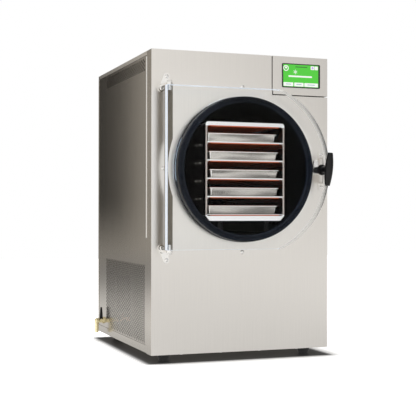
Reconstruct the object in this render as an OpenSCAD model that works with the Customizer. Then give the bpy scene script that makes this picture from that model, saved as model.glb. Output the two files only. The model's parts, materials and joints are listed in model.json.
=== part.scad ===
// Benchtop freeze dryer: steel cabinet, round vacuum chamber, clear door, heated tray rack.

/* [Cabinet] */
// Width of the cabinet body, outside
body_w = 457.2; // [440:0.1:520]
// Depth of the cabinet body from its front face to its rear face
body_d = 515; // [510:0.5:600]
// Height of the cabinet body above its feet
body_h = 717.6; // [710:0.1:800]
// Thickness of the folded steel sheets
sheet_t = 1.2; // [0.8:0.1:2]
// Gap between two sheets that meet at a seam
seam = 0.3; // [0.2:0.05:0.6]
// Depth of the side returns folded back from the front panel
return_d = 38; // [25:0.5:50]
// Width of the raised hem along the front edge of each side panel
hem_w = 15; // [8:0.5:20]
// How far the hem stands proud of the side panel
hem_step = 1; // [0.5:0.1:1.5]
// Height of the lips folded down from the top cover
top_lip = 9.6; // [6:0.2:20]
// Height of the lips folded up from the base pan
base_lip = 18; // [12:0.5:30]
// Depth of the flange folded under the front panel
toe_d = 25; // [15:0.5:32]

/* [Feet] */
// Height of the rubber feet
foot_h = 19; // [12:0.5:30]
// Diameter of a foot where it meets the cabinet
foot_top_d = 35; // [28:0.5:45]
// Diameter of a foot on the floor
foot_base_d = 23; // [16:0.5:28]
// Distance from a foot's centre to the nearest cabinet faces
foot_inset = 45; // [35:1:80]

/* [Chamber] */
// Distance from the cabinet's top down to the chamber's axis
axis_drop = 279.6; // [276:0.1:287]
// Inside radius of the chamber
chamber_r = 165; // [155:0.5:168]
// Wall thickness of the chamber
chamber_wall = 3; // [2:0.5:4]
// How far the chamber's rim stands out of the front face
rim_reach = 20; // [12:0.5:22]
// Distance from the chamber's inside end to the cabinet's rear face
rear_room = 45; // [44:0.5:60]
// Radius of the circle of screws that holds the chamber
screw_circle_r = 199.5; // [198:0.5:202]
// Width of the chamber's flange outside the screw circle
flange_edge = 7; // [5:0.5:9]
// Thickness of the insulation round the chamber
insulation_t = 17; // [10:0.5:18]
// Outside diameter of the evaporator tube wound on the chamber
coil_d = 9; // [6:0.5:10]
// Turns of the evaporator tube
coil_turns = 9; // [4:1:12]

/* [Gasket] */
// Outside radius of the door gasket
gasket_r = 175; // [172:0.5:178]
// Inside radius of the gasket's front lip
gasket_lip_r = 158; // [152:0.5:160]
// Width of the groove in the gasket's front face
groove_w = 4; // [2:0.5:6]
// Depth of that groove
groove_d = 5; // [2:0.5:7]

/* [Door] */
// Distance from the front face to the back of the closed door
door_gap = 30; // [28:0.5:36]
// Thickness of the clear door
door_t = 25.4; // [20:0.1:30]
// Radius of the door's round side
door_r = 206.4; // [205:0.1:212]
// Half the door's height between its two flats
door_half_h = 190.5; // [186:0.5:196]
// Width of the rebate along the hinge side, behind the door
rebate_w = 18; // [10:0.5:20]
// Depth of that rebate
rebate_d = 6; // [4:0.5:7]
// Radius of the sealing land that bulges into the rebate
land_r = 200; // [196:0.5:205]
// Distance from the door's hinge edge to the hinge axis
hinge_inset = 8.4; // [7:0.1:9]
// Diameter of the hinge pins
pin_d = 8; // [6:0.5:9]
// How deep each hinge pin reaches into the door
pin_depth = 13; // [8:0.5:20]
// Radial clearance of turning fits
run_gap = 0.06; // [0.03:0.01:0.1]

/* [Hinge brackets] */
// Thickness of the bracket plates
bracket_t = 4.8; // [3:0.2:6]
// Radius of the rounded bracket ends
bracket_end_r = 7.5; // [6.5:0.5:9]
// Gap between a bracket's arm and the door's edge
arm_gap = 0.8; // [0.5:0.1:2]

/* [Handle] */
// Length of the handle's grip
grip_l = 79; // [60:1:100]
// Diameter of the grip at its middle
grip_d = 20; // [16:0.5:26]
// Diameter of the grip at its ends
grip_end_d = 12; // [8:0.5:14]
// Lean of the grip when the latch is released
grip_lean = 6; // [0:0.5:10]
// Diameter of the collar on the front of the door
collar_d = 26; // [22:0.5:34]
// Thickness of that collar
collar_t = 8; // [5:0.5:12]
// Length of the neck between the collar and the grip
neck_l = 19.6; // [12:0.2:30]
// Diameter of the shaft through the door
shaft_d = 10; // [8:0.5:11]
// Reach of the latch pawl from the shaft's axis
pawl_l = 27; // [24:0.5:28]
// Thickness of the latch pawl
pawl_t = 6; // [4:0.5:7]
// Width of the latch pawl at its eye
pawl_w = 18; // [14:0.5:19]
// Gap between the pawl and the gasket
pawl_gap = 1.5; // [1:0.1:3]

/* [Latch strike] */
// Gap between the released pawl and the strike
strike_gap = 6.5; // [3:0.5:8]
// Width of the strike
strike_w = 15; // [12:0.5:18]
// Height of the strike
strike_h = 96; // [80:1:120]
// How far the strike stands out of the front face
strike_reach = 26; // [22:0.5:26]
// Thickness of the strike's metal
strike_t = 3; // [2:0.2:4]
// Height of each of the strike's feet
strike_foot = 16; // [14:0.5:20]

/* [Control panel] */
// Width of the control panel
panel_w = 148.6; // [130:0.1:180]
// Depth of the folds behind the panel's inner edges
panel_fold = 12; // [8:0.5:20]
// Height of the control panel
panel_h = 94.1; // [85:0.1:110]
// Width of the dark seam round the control panel
panel_seam = 2.5; // [1:0.1:3]
// Width of the touchscreen
screen_w = 103; // [80:0.5:120]
// Height of the touchscreen
screen_h = 59.5; // [45:0.5:70]
// Distance from the control panel's left edge to the touchscreen
screen_inset = 25; // [12:0.5:40]
// Distance from the control panel's lower edge to the touchscreen
screen_rise = 18; // [10:0.5:30]
// How far the touchscreen's bezel stands out of the panel
bezel_reach = 2; // [1:0.1:4]

/* [Vents] */
// Diameter of the vent holes
hole_d = 6.35; // [4:0.05:8]
// Distance between the centres of neighbouring vent holes
hole_pitch = 9.525; // [8.5:0.025:14]
// Distance from the front face to the first vent holes
vent_y = 60; // [58:0.5:90]
// Length of the vents towards the rear
vent_l = 366; // [200:1:380]
// Height of the lower vent's first holes above the floor
vent_z = 44; // [42:0.5:60]
// Height of the lower vent
vent_h = 184; // [80:1:200]
// Size of the corner that the lower vent leaves clear for the drain
vent_corner = 50; // [0:1:100]
// Distance from the upper vent's first holes to the top of the cabinet
band_drop = 42; // [38:1:80]
// Height of the upper vent
band_h = 27; // [8:1:27]

/* [Rack] */
// Width of the tray rack
rack_w = 203; // [201:0.5:206]
// Gap between the rack's rear end and the end of the chamber
rack_gap = 28; // [18:1:38]
// Thickness of the rack's metal
rack_t = 2; // [1.5:0.1:3]
// Distance from the front face to the front of the rack
rack_front = 18; // [12:0.5:19]
// Height of the bar across the rack's top
rack_cap_h = 9; // [7:0.5:12]
// Height of the bar across the rack's foot
rack_base_h = 11.8; // [10:0.1:14]
// Distance between two shelves
shelf_pitch = 43.2; // [40:0.1:44]
// Height from the top shelf to the rack's top
rack_head = 46.7; // [44:0.1:50]
// Distance from the chamber's axis down to the rack's foot
rack_drop = 123.3; // [120:0.1:126]
// Radius of the upper corners of each bay's front
bay_round = 5; // [3:0.5:8]
// Number of trays
tray_count = 5; // [5:1:5]
// Thickness of the shelves
shelf_t = 1.2; // [0.8:0.1:2]
// Height of the lip along a shelf's front edge
shelf_lip = 3; // [2.6:0.1:6]
// Height of the flanges that fix a shelf to the rack's sides
shelf_flange = 14; // [12:0.5:16]
// Thickness of the heating mats
mat_t = 1.6; // [1:0.1:2.5]
// Distance from a mat's edge to the rack's side
mat_inset = 13; // [10:0.5:20]
// Width of the runners under the rack
runner_w = 12; // [8:0.5:16]
// Distance from the rack's centre line to a runner's centre
runner_x = 60; // [50:1:70]

/* [Trays] */
// Width of a tray over its rim
tray_w = 191.5; // [180:0.5:191.5]
// How far the trays sit behind the rack's front
tray_set = 8; // [4:0.5:20]
// Height of a tray
tray_h = 21; // [15:0.5:25]
// Wall thickness of a tray
tray_t = 0.9; // [0.7:0.1:1.5]
// Width of a tray's rolled rim
rim_w = 4.5; // [3:0.5:8]
// Height of that rim
rim_h = 3.4; // [2:0.2:5]
// How far a tray's wall leans in towards its floor
tray_lean = 7; // [3:0.5:8]
// Corner radius of a tray over its rim
tray_corner = 12; // [10:1:20]

/* [Drain valve] */
// Height of the drain valve above the floor
drain_z = 56; // [50:0.5:70]
// Distance from the cabinet's rear face to the drain valve
drain_inset = 60; // [59:0.5:65]
// How far the drain valve stands out of the cabinet's side
drain_reach = 25.4; // [24:0.2:40]
// Diameter of the drain's spout
spout_d = 10; // [9:0.5:14]
// Bore of the drain's spout
spout_bore = 6; // [4:0.5:8]
// Height of the drain's lever
drain_lever_l = 37; // [25:1:60]
// Outside diameter of the pipe from the chamber to the drain valve
drain_pipe_d = 12; // [10:0.5:14]

/* [Machinery] */
// Diameter of the compressor's shell
compressor_d = 150; // [120:1:160]
// Height between the compressor's shell and the lowest insulation
compressor_gap = 43.5; // [36:0.5:80]
// Width of the condenser along the cabinet's side
condenser_w = 190; // [160:1:200]
// Height between the condenser and the lowest insulation
condenser_gap = 40.9; // [36:0.1:80]
// Thickness of the condenser
condenser_t = 34; // [25:1:40]
// Diameter of the fan
fan_d = 170; // [120:1:176]
// Number of fan blades
fan_blades_n = 5; // [3:1:8]

/* [Rear fittings] */
// How far the vacuum port stands out of the rear face
port_reach = 17; // [10:0.5:30]
// Outside diameter of the vacuum port
port_d = 22; // [18:0.5:28]
// Bore of the vacuum port
port_bore = 12; // [8:0.5:14]
// Tilt of the power switch to either side
rocker_tilt = 8; // [4:0.5:10]

/* [Hidden] */
$fn = 64;

// Every piece is drawn in the cabinet's frame: x from its middle, y back from its front
// face, z up from the floor. These two shifts bring the whole to its own middle.
front_reach = door_gap + door_t + collar_t + neck_l + grip_d;
mid_x = drain_reach / 2;
face_y = (front_reach - body_d - port_reach) / 2;

// Cabinet levels
side_x = body_w / 2;
top_z = foot_h + body_h;
axis_z = top_z - axis_drop;
pan_z = foot_h + sheet_t;
side_y = return_d + seam;
side_low = pan_z + base_lip + seam;
side_high = top_z - top_lip - seam;

// Door and hinge
door_back = -door_gap;
door_front = door_back - door_t;
hinge_x = -door_r + hinge_inset;
hinge_y = door_back - door_t / 2;
door_low = axis_z - door_half_h;
door_high = axis_z + door_half_h;
handle_x = gasket_r + pawl_gap + pawl_w / 2;
strike_x = handle_x + pawl_w / 2 + strike_gap;
collar_front = door_front - collar_t;
grip_y = collar_front - neck_l - grip_d / 2;

// Chamber and what surrounds it
chamber_out = chamber_r + chamber_wall;
chamber_end = body_d - rear_room;
drain_y = body_d - drain_inset;
end_plate_t = 4;
flange_r = screw_circle_r + flange_edge;
flange_t = 3;
touch = 0.3;
coil_steps = 24;
coil_r = (chamber_out + touch + coil_d / 2) / cos(180 / coil_steps);
insulation_in = coil_r + coil_d / 2 + touch;
insulation_out = insulation_in + insulation_t;

// Screws
chamber_screw_d = 5.5;
hinge_screw_d = 5;
strike_screw_d = 4;
toe_screw_d = 4;
toe_screw_x = [-150, -50, 50, 150];
rear_screw_d = 4;
rear_screw_places = [for (side = [-1, 1], z = [side_low + 12, axis_z, side_high - 12])
  [side * (side_x - 9), z]];
hinge_screw_offsets = [[5, 25], [-7, -4]];
hinge_screw_places = [for (side = [-1, 1], p = hinge_screw_offsets)
  [hinge_x + p[0], axis_z + side * (door_half_h + p[1])]];
strike_screw_z = [for (side = [-1, 1]) axis_z + side * (strike_h - strike_foot) / 2];

// Rack levels: each shelf's upper face, counted from the top one
rack_low = axis_z - rack_drop;
foot_gap = 1.1;
function shelf_z(n) =
  rack_low + rack_base_h + foot_gap + mat_t + shelf_t + (tray_count - n) * shelf_pitch;
rack_high = shelf_z(1) + rack_head;
// Sideways place of each tray, as trays are left after loading
tray_shift = [-3.4, 1.2, 3.4, 3.4, -0.9];

// Colours
steel = [0.80, 0.78, 0.75];
dark_steel = [0.42, 0.39, 0.35];
bright = [0.88, 0.88, 0.88];
black = [0.08, 0.08, 0.08];
brass = [0.85, 0.66, 0.35];
copper = [0.75, 0.45, 0.30];

// ---- Shared shapes ----

module placed() {
  translate([mid_x, face_y, 0]) children();
}

// Extrudes a shape drawn in x and z from y = y0 to y = y1
module along_y(y0, y1) {
  translate([0, y1, 0]) rotate([90, 0, 0]) linear_extrude(y1 - y0) children();
}

// Extrudes a shape drawn in y and z from x = x0 to x = x1
module along_x(x0, x1) {
  translate([x0, 0, 0]) rotate([90, 0, 90]) linear_extrude(x1 - x0) children();
}

// Turns a profile of radius and y about the chamber's axis
module turned_y(x = 0, z = axis_z) {
  translate([x, 0, z]) rotate([-90, 0, 0]) rotate_extrude() children();
}

module box_at(x0, x1, y0, y1, z0, z1) {
  translate([x0, y0, z0]) cube([x1 - x0, y1 - y0, z1 - z0]);
}

module rod_x(r, x0, x1, y, z) {
  translate([x0, y, z]) rotate([0, 90, 0]) cylinder(r = r, h = x1 - x0);
}

module rod_y(r, y0, y1, x, z) {
  translate([x, y1, z]) rotate([90, 0, 0]) cylinder(r = r, h = y1 - y0);
}

module rod_z(r, z0, z1, x, y) {
  translate([x, y, z0]) cylinder(r = r, h = z1 - z0);
}

// Pan-head screw along z: its head's seat is at the origin and its shank points down
module pan_screw(d, l) {
  head_r = d * 0.95;
  head_h = d * 0.6;
  rotate_extrude() union() {
    translate([0, -l]) square([d / 2, l + head_h / 2]);
    intersection() {
      translate([0, head_h - 3 * head_r]) circle(r = 3 * head_r);
      square([head_r, head_h]);
    }
  }
}

// The same screw driven into the front face, with its head towards -y
module front_screw(x, y, z, d, l) {
  translate([x, y, z]) rotate([90, 0, 0]) pan_screw(d, l);
}

// ---- Cabinet ----

module base_pan() {
  color(dark_steel) placed() difference() {
    union() {
      box_at(-side_x, side_x, sheet_t + seam, body_d, pan_z, pan_z + sheet_t);
      for (side = [-1, 1])
        translate([side * (side_x - sheet_t / 2), 0, 0])
          box_at(-sheet_t / 2, sheet_t / 2, side_y, body_d, pan_z, pan_z + base_lip);
      box_at(-side_x, side_x, body_d - sheet_t, body_d, pan_z, pan_z + base_lip);
    }
    // The front panel's returns stand outside the pan's front corners
    for (side = [-1, 1])
      translate([side * side_x, 0, 0])
        box_at(-sheet_t - seam, sheet_t + seam, 0, side_y, foot_h, pan_z + base_lip);
    toe_screw_holes();
  }
}

module toe_screw_holes() {
  for (x = toe_screw_x)
    rod_z(toe_screw_d / 2 + 0.1, foot_h - 1, pan_z + 2 * sheet_t, x, toe_d / 2);
}

// Outline of the control panel, grown by its seam where it meets the front panel
module panel_outline(grow) {
  translate([side_x - panel_w - grow, top_z - panel_h - grow])
    square([panel_w + grow + 1, panel_h + grow + 1]);
}

module face_screw_holes() {
  for (angle = [0:90:270])
    translate([screw_circle_r * cos(angle), axis_z + screw_circle_r * sin(angle)])
      circle(r = chamber_screw_d / 2 + 0.1);
  for (p = hinge_screw_places)
    translate([p[0], p[1]]) circle(r = hinge_screw_d / 2 + 0.1);
  for (z = strike_screw_z)
    translate([strike_x + strike_w / 2, z]) circle(r = strike_screw_d / 2 + 0.1);
}

module front_panel() {
  color(steel) placed() difference() {
    union() {
      along_y(0, sheet_t) difference() {
        translate([-side_x, foot_h]) square([body_w, body_h]);
        panel_outline(panel_seam);
        translate([0, axis_z]) circle(r = chamber_r + chamber_wall + seam);
        face_screw_holes();
      }
      box_at(-side_x, -side_x + sheet_t, 0, return_d, foot_h, top_z - sheet_t - seam);
      box_at(side_x - sheet_t, side_x, 0, return_d, foot_h, top_z - panel_h - panel_seam);
      box_at(-side_x, side_x, 0, toe_d, foot_h, pan_z);
    }
    toe_screw_holes();
  }
}

// Staggered rows of round holes, drawn in y and z
module vent_holes(y0, z0, l, h, corner) {
  step = hole_pitch * sin(60);
  for (column = [0:floor(l / step)])
    for (up = [(column % 2) * hole_pitch / 2:hole_pitch:h])
      if (up > corner - (l - column * step))
        translate([y0 + column * step, z0 + up]) circle(d = hole_d);
}

// Side panel drawn on the left side of the cabinet
module side_sheet() {
  skin = -side_x + hem_step;
  rear_y = body_d - sheet_t - seam;
  along_x(skin, skin + sheet_t) difference() {
    translate([side_y, side_low]) square([rear_y - side_y, side_high - side_low]);
    vent_holes(vent_y, vent_z, vent_l, vent_h, vent_corner);
    vent_holes(vent_y, top_z - band_drop, vent_l, band_h, 0);
    children();
  }
  // Raised hem along the front edge
  box_at(-side_x, skin, side_y, side_y + hem_w, side_low, side_high);
  // Flange behind the rear panel
  difference() {
    box_at(skin, skin + 15, rear_y - sheet_t, rear_y, side_low, side_high);
    rear_screw_holes();
  }
}

module left_side_panel() {
  color(dark_steel) placed() side_sheet()
    translate([drain_y, drain_z]) circle(d = drain_pipe_d + 2 * touch);
}

module right_side_panel() {
  color(dark_steel) placed() mirror([1, 0, 0]) side_sheet();
}

module top_cover() {
  color(steel) placed() {
    box_at(-side_x, side_x, sheet_t + seam, body_d, top_z - sheet_t, top_z);
    for (side = [-1, 1])
      translate([side * (side_x - sheet_t / 2), 0, 0])
        box_at(-sheet_t / 2, sheet_t / 2, side_y, body_d, top_z - top_lip, top_z);
    box_at(-side_x, side_x, body_d - sheet_t, body_d, top_z - top_lip, top_z);
  }
}

module rear_screw_holes() {
  for (p = rear_screw_places)
    rod_y(rear_screw_d / 2 + 0.1, body_d - 6, body_d + 1, p[0], p[1]);
}

slot_w = 50;
slot_h = 6;
slot_rows = 7;
slot_columns = 3;
slot_pitch = slot_w + 12;
slot_step = slot_h + 8;
slot_rise = 40;
slot_x = -170;

// Rear panel with rows of slots over the fan's outlet
module rear_panel() {
  color(dark_steel) placed() difference() {
    box_at(-side_x, side_x, body_d - sheet_t, body_d, side_low, side_high);
    rear_screw_holes();
    for (row = [0:slot_rows - 1], column = [0:slot_columns - 1])
      translate([slot_x + column * slot_pitch, 0, side_low + slot_rise + row * slot_step])
        box_at(0, slot_w, body_d - 5, body_d + 1, 0, slot_h);
    rod_y(port_d / 2 + touch, body_d - 5, body_d + 1, port_x, port_z);
    box_at(inlet_x - inlet_w / 2 + 3, inlet_x + inlet_w / 2 - 3, body_d - 5, body_d + 1,
      inlet_z - inlet_h / 2 + 3, inlet_z + inlet_h / 2 - 3);
  }
}

module control_panel() {
  left = side_x - panel_w;
  low = top_z - panel_h;
  color(steel) placed() {
    along_y(0, sheet_t) difference() {
      translate([left, low]) square([panel_w, panel_h]);
      translate([left + screen_inset + 3, low + screen_rise + 3])
        square([screen_w - 6, screen_h - 6]);
    }
    difference() {
      union() {
        box_at(left, left + sheet_t, 0, panel_fold, low, top_z - sheet_t - seam);
        box_at(left, side_x, 0, panel_fold, low, low + sheet_t);
      }
      rod_y(flange_r + 1, sheet_t, panel_fold + 1, 0, axis_z);
    }
    box_at(side_x - sheet_t, side_x, 0, return_d, low, top_z - sheet_t - seam);
  }
}

module rounded_rect(w, h, r) {
  hull() for (x = [r, w - r], z = [r, h - r]) translate([x, z]) circle(r = r, $fn = 32);
}

module touchscreen() {
  left = side_x - panel_w + screen_inset;
  low = top_z - panel_h + screen_rise;
  color(black) placed() {
    along_y(-bezel_reach, 0) translate([left, low]) rounded_rect(screen_w, screen_h, 3);
    box_at(left + 3.3, left + screen_w - 3.3, -bezel_reach / 2, screen_back,
      low + 3.3, low + screen_h - 3.3);
  }
}

screen_back = 14;

// Board carried on four posts behind the touchscreen
module circuit_board() {
  left = side_x - panel_w + screen_inset;
  low = top_z - panel_h + screen_rise;
  board_y = screen_back + 5;
  color("darkgreen") placed() {
    box_at(left, left + screen_w, board_y, board_y + 1.6, low - 2, low + screen_h + 1);
    for (x = [8, screen_w - 8], z = [8, screen_h - 8])
      rod_y(2.5, screen_back, board_y + 0.5, left + x, low + z);
    box_at(left + 20, left + 50, board_y + 1, board_y + 5, low + 15, low + 40);
    box_at(left + 62, left + 90, board_y + 1, board_y + 15, low + 8, low + 24);
    for (n = [0:3]) rod_y(4, board_y + 1, board_y + 14, left + 60 + n * 11, low + 48);
  }
}

module feet() {
  color(black) placed()
    for (x = [foot_inset - side_x, side_x - foot_inset], y = [foot_inset, body_d - foot_inset])
      translate([x, y, 0]) cylinder(d1 = foot_base_d, d2 = foot_top_d, h = pan_z);
}

module panel_screws() {
  color(bright) placed() {
    for (x = toe_screw_x)
      translate([x, toe_d / 2, foot_h]) rotate([180, 0, 0])
        pan_screw(toe_screw_d, 2 * sheet_t + 1);
    for (p = rear_screw_places)
      translate([p[0], body_d, p[1]]) rotate([-90, 0, 0])
        pan_screw(rear_screw_d, 2 * sheet_t + 2);
  }
}

// ---- Chamber ----

module chamber() {
  color(black) placed() difference() {
    turned_y() polygon([
      [chamber_r, -rim_reach], [chamber_out, -rim_reach],
      [chamber_out, chamber_end], [chamber_r, chamber_end]]);
    rod_z(drain_pipe_d / 2 + run_gap, axis_z - chamber_out - 1, axis_z - chamber_r + 5,
      0, drain_y);
  }
}

// Plate welded over the rear end of the drum, with the hole for the vacuum port
module chamber_end_plate() {
  color(black) placed() difference() {
    rod_y(chamber_out, chamber_end, chamber_end + end_plate_t, 0, axis_z);
    rod_y(port_d / 2 + run_gap, chamber_end - 1, chamber_end + end_plate_t + 1, port_x, port_z);
  }
}

// Ring behind the front panel that the drum is screwed on by
module chamber_flange() {
  color(black) placed() difference() {
    turned_y() polygon([
      [chamber_out + touch, sheet_t], [flange_r, sheet_t],
      [flange_r, sheet_t + flange_t], [chamber_out + touch, sheet_t + flange_t]]);
    for (angle = [0:90:270])
      rod_y(chamber_screw_d / 2 + 0.1, sheet_t - 1, sheet_t + flange_t + 1,
        screw_circle_r * cos(angle), axis_z + screw_circle_r * sin(angle));
  }
}

// Rubber ring over the chamber's rim, with a grooved front face
module gasket() {
  front = door_back + touch;
  groove_r = chamber_out + 1;
  color(black) placed() turned_y() polygon([
    [chamber_out + touch, -2], [gasket_r, -2], [gasket_r, front],
    [groove_r + groove_w / 2, front], [groove_r + groove_w / 2, front + groove_d],
    [groove_r - groove_w / 2, front + groove_d], [groove_r - groove_w / 2, front],
    [gasket_lip_r, front], [gasket_lip_r, -rim_reach - touch],
    [chamber_out + touch, -rim_reach - touch]]);
}

module insulation() {
  front = sheet_t + 3 + touch;
  back = chamber_end + end_plate_t + touch;
  color("dimgray") placed() difference() {
    turned_y() polygon([[insulation_in, front], [insulation_out, front],
      [insulation_out, back + insulation_t], [0, back + insulation_t], [0, back],
      [insulation_in, back]]);
    rod_y(port_d / 2 + touch, back - 1, back + insulation_t + 1, port_x, port_z);
    rod_z(drain_pipe_d / 2 + touch, axis_z - insulation_out - 1, axis_z - insulation_in + 5,
      0, drain_y);
    for (y = [coil_start, coil_stop])
      rod_x(coil_tail_d / 2 + 1.5, insulation_in - 8, insulation_out + 1, y, axis_z);
  }
}

// Sweeps a tube of radius r along a list of points, with its rings facing the path
module swept_tube(path, r, sides) {
  last = len(path) - 1;
  rings = [for (n = [0:last])
    let (a = path[max(n - 1, 0)], b = path[min(n + 1, last)],
         t = (b - a) / norm(b - a),
         ref = abs(t[2]) > 0.9 ? [1, 0, 0] : [0, 0, 1],
         u = cross(ref, t) / norm(cross(ref, t)), v = cross(t, u))
    for (k = [0:sides - 1])
      path[n] + r * (cos(360 * k / sides) * u + sin(360 * k / sides) * v)];
  polyhedron(rings, concat(
    [[for (k = [sides - 1:-1:0]) k]],
    [for (n = [0:last - 1], k = [0:sides - 1])
      [n * sides + k, n * sides + (k + 1) % sides,
       (n + 1) * sides + (k + 1) % sides, (n + 1) * sides + k]],
    [[for (k = [0:sides - 1]) last * sides + k]]));
}

coil_start = 40;
coil_stop = 430;
coil_tail_d = 8;

module evaporator_coil() {
  steps = coil_steps * coil_turns;
  turn = 360 / coil_steps;
  color(copper) placed() swept_tube(
    [for (n = [0:steps]) [coil_r * cos(turn * n),
      coil_start + (coil_stop - coil_start) * n / steps,
      axis_z + coil_r * sin(turn * n)]], coil_d / 2, 8);
}

// ---- Machinery ----

compressor_x = 112;
compressor_y = 330;
condenser_x = -210;
condenser_y = 62;
condenser_z = 30;
condenser_h = axis_z - insulation_out - condenser_gap - condenser_z;
line_d = 8;
shell_lift = 20;
shell_round = 18;
shell_h = axis_z - insulation_out - compressor_gap - pan_z - sheet_t - shell_lift;
line_x = insulation_out + 12;

// Rounds each right-angled corner of a path to the given radius
function rounded_path(points, radius) = let (last = len(points) - 1)
  concat([points[0]],
    [for (n = [1:last - 1])
      let (p = points[n], u = (points[n - 1] - p) / norm(points[n - 1] - p),
           v = (points[n + 1] - p) / norm(points[n + 1] - p))
      for (angle = [0:22.5:90])
        p + radius * (u + v) - radius * (v * cos(angle) + u * sin(angle))],
    [points[last]]);

module refrigerant_lines() {
  start_x = coil_r + coil_d / 2 + touch;
  suction_z = pan_z + sheet_t + shell_lift + shell_h - 30;
  color(copper) placed() {
    swept_tube(rounded_path([[start_x, coil_stop, axis_z], [line_x, coil_stop, axis_z],
      [line_x, coil_stop, suction_z], [compressor_x, coil_stop, suction_z],
      [compressor_x, compressor_y + compressor_d / 2 + touch, suction_z]], 10),
      line_d / 2, 8);
    swept_tube(rounded_path([[start_x, coil_start, axis_z], [line_x, coil_start, axis_z],
      [line_x, coil_start, condenser_z + condenser_h + 15],
      [condenser_x + condenser_t / 2, coil_start, condenser_z + condenser_h + 15],
      [condenser_x + condenser_t / 2, condenser_y + 20, condenser_z + condenser_h + 15],
      [condenser_x + condenser_t / 2, condenser_y + 20, condenser_z + condenser_h + touch]],
      9), line_d / 2, 8);
  }
}

// Welded steel shell on a mounting plate with four rubber grommets
module compressor() {
  base = pan_z + sheet_t;
  r = compressor_d / 2;
  color(black) placed() translate([compressor_x, compressor_y, base]) {
    rotate_extrude() union() {
      translate([0, shell_lift]) square([r - shell_round, shell_h]);
      translate([0, shell_lift + shell_round]) square([r, shell_h - 2 * shell_round]);
      for (up = [shell_round, shell_h - shell_round])
        translate([r - shell_round, shell_lift + up]) circle(r = shell_round);
      translate([0, 0.45 * shell_h]) square([r + 3, 8]);
    }
    difference() {
      translate([-r + 5, -r + 5, 14]) cube([2 * r - 10, 2 * r - 10, 4]);
      for (x = [-1, 1], y = [-1, 1])
        translate([x * (r - 18), y * (r - 18), 10]) cylinder(r = 5, h = 12);
    }
    translate([0, 0, 17]) cylinder(r = r - 30, h = 10);
    for (x = [-1, 1], y = [-1, 1])
      translate([x * (r - 18), y * (r - 18), 0]) {
        cylinder(r = 9, h = 14);
        cylinder(r = 4.5, h = 20);
      }
    translate([-12, -r - 14, 90]) cube([24, 30, 36]);
  }
}

// Finned coil in a frame, with its face along the cabinet's left side
module condenser() {
  fins = 30;
  gap = (condenser_w - 6) / fins;
  color("slategray") placed() difference() {
    translate([condenser_x, condenser_y, condenser_z])
      cube([condenser_t, condenser_w, condenser_h]);
    for (n = [0:fins - 1])
      box_at(condenser_x - 1, condenser_x + 9,
        condenser_y + 4 + n * gap, condenser_y + 2 + (n + 1) * gap,
        condenser_z + 8, condenser_z + condenser_h - 8);
    for (side = [-1, 1])
      box_at(condenser_x + 12, condenser_x + condenser_t - 5, condenser_y + 8,
        condenser_y + condenser_w - 8, condenser_z + 12, condenser_z + condenser_h - 8);
  }
}

fan_y = condenser_y + condenser_w / 2;
fan_z = condenser_z + condenser_h / 2;
shroud_x = condenser_x + condenser_t;
shroud_l = 38;
motor_x = shroud_x + shroud_l - 1;
motor_d = 66;
motor_l = 48;
fan_shaft_d = 8;
fan_tip_gap = 3;

// Square plate and ring round the fan, with four arms that carry the motor
module fan_shroud() {
  ring_r = fan_d / 2 + fan_tip_gap;
  hub_t = 4;
  arm_t = 3;
  arm_w = 10;
  hub_x = motor_x - 1 - hub_t;
  color(black) placed() {
    difference() {
      union() {
        box_at(shroud_x, shroud_x + 3, condenser_y, condenser_y + condenser_w, condenser_z,
          condenser_z + condenser_h);
        rod_x(ring_r + 2.4, shroud_x, shroud_x + shroud_l, fan_y, fan_z);
      }
      rod_x(ring_r, shroud_x - 1, shroud_x + shroud_l + 1, fan_y, fan_z);
    }
    difference() {
      union() {
        for (angle = [45:90:315])
          translate([hub_x + (hub_t - arm_t) / 2, fan_y, fan_z]) rotate([angle, 0, 0])
            translate([0, motor_d / 2, -arm_w / 2])
              cube([arm_t, ring_r + 1.5 - motor_d / 2, arm_w]);
        rod_x(motor_d / 2 + 4, hub_x, hub_x + hub_t, fan_y, fan_z);
      }
      rod_x(motor_d / 2 - 6, hub_x - 1, hub_x + hub_t + 1, fan_y, fan_z);
    }
  }
}

module fan_motor() {
  color("dimgray") placed() {
    rod_x(motor_d / 2, motor_x - 1, motor_x + motor_l, fan_y, fan_z);
    rod_x(motor_d / 2 - 8, motor_x - 4, motor_x + motor_l + 4, fan_y, fan_z);
    rod_x(fan_shaft_d / 2, shroud_x + 6, motor_x, fan_y, fan_z);
  }
}

module fan_blades() {
  tip_r = fan_d / 2;
  hub_r = 22;
  blade_x = shroud_x + 17;
  color("lightgray") placed() difference() {
    union() {
      rod_x(hub_r, blade_x - 10, blade_x + 8, fan_y, fan_z);
      intersection() {
        union() for (n = [0:fan_blades_n - 1])
          translate([blade_x, fan_y, fan_z]) rotate([n * 360 / fan_blades_n, 0, 0])
            rotate([0, 0, 30]) translate([-1, -26, hub_r / 2]) cube([2, 52, tip_r]);
        rod_x(tip_r, blade_x - 16, blade_x + 16, fan_y, fan_z);
      }
    }
    rod_x(fan_shaft_d / 2 + run_gap, blade_x - 20, blade_x + 20, fan_y, fan_z);
  }
}

// ---- Rear fittings ----

port_x = 95;
port_z = axis_z + 95;
inlet_x = 150;
inlet_z = 120;
inlet_w = 32;
inlet_h = 66;
rocker_w = 13;
rocker_r = 9.5;
rocker_z = inlet_z + 17;
rocker_y = body_d + 3;
rocker_pin_r = 1.5;

// Tube from the chamber's end plate to a hex shoulder and threaded nose on the rear face
module vacuum_port() {
  color(brass) placed() difference() {
    union() {
      rod_y(port_d / 2, chamber_end, body_d + port_reach, port_x, port_z);
      translate([port_x, body_d + 6, port_z]) rotate([90, 0, 0])
        cylinder(r = port_d / 2 + 5, h = 6, $fn = 6);
    }
    rod_y(port_bore / 2, chamber_end - 1, body_d + port_reach + 1, port_x, port_z);
  }
}

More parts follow.
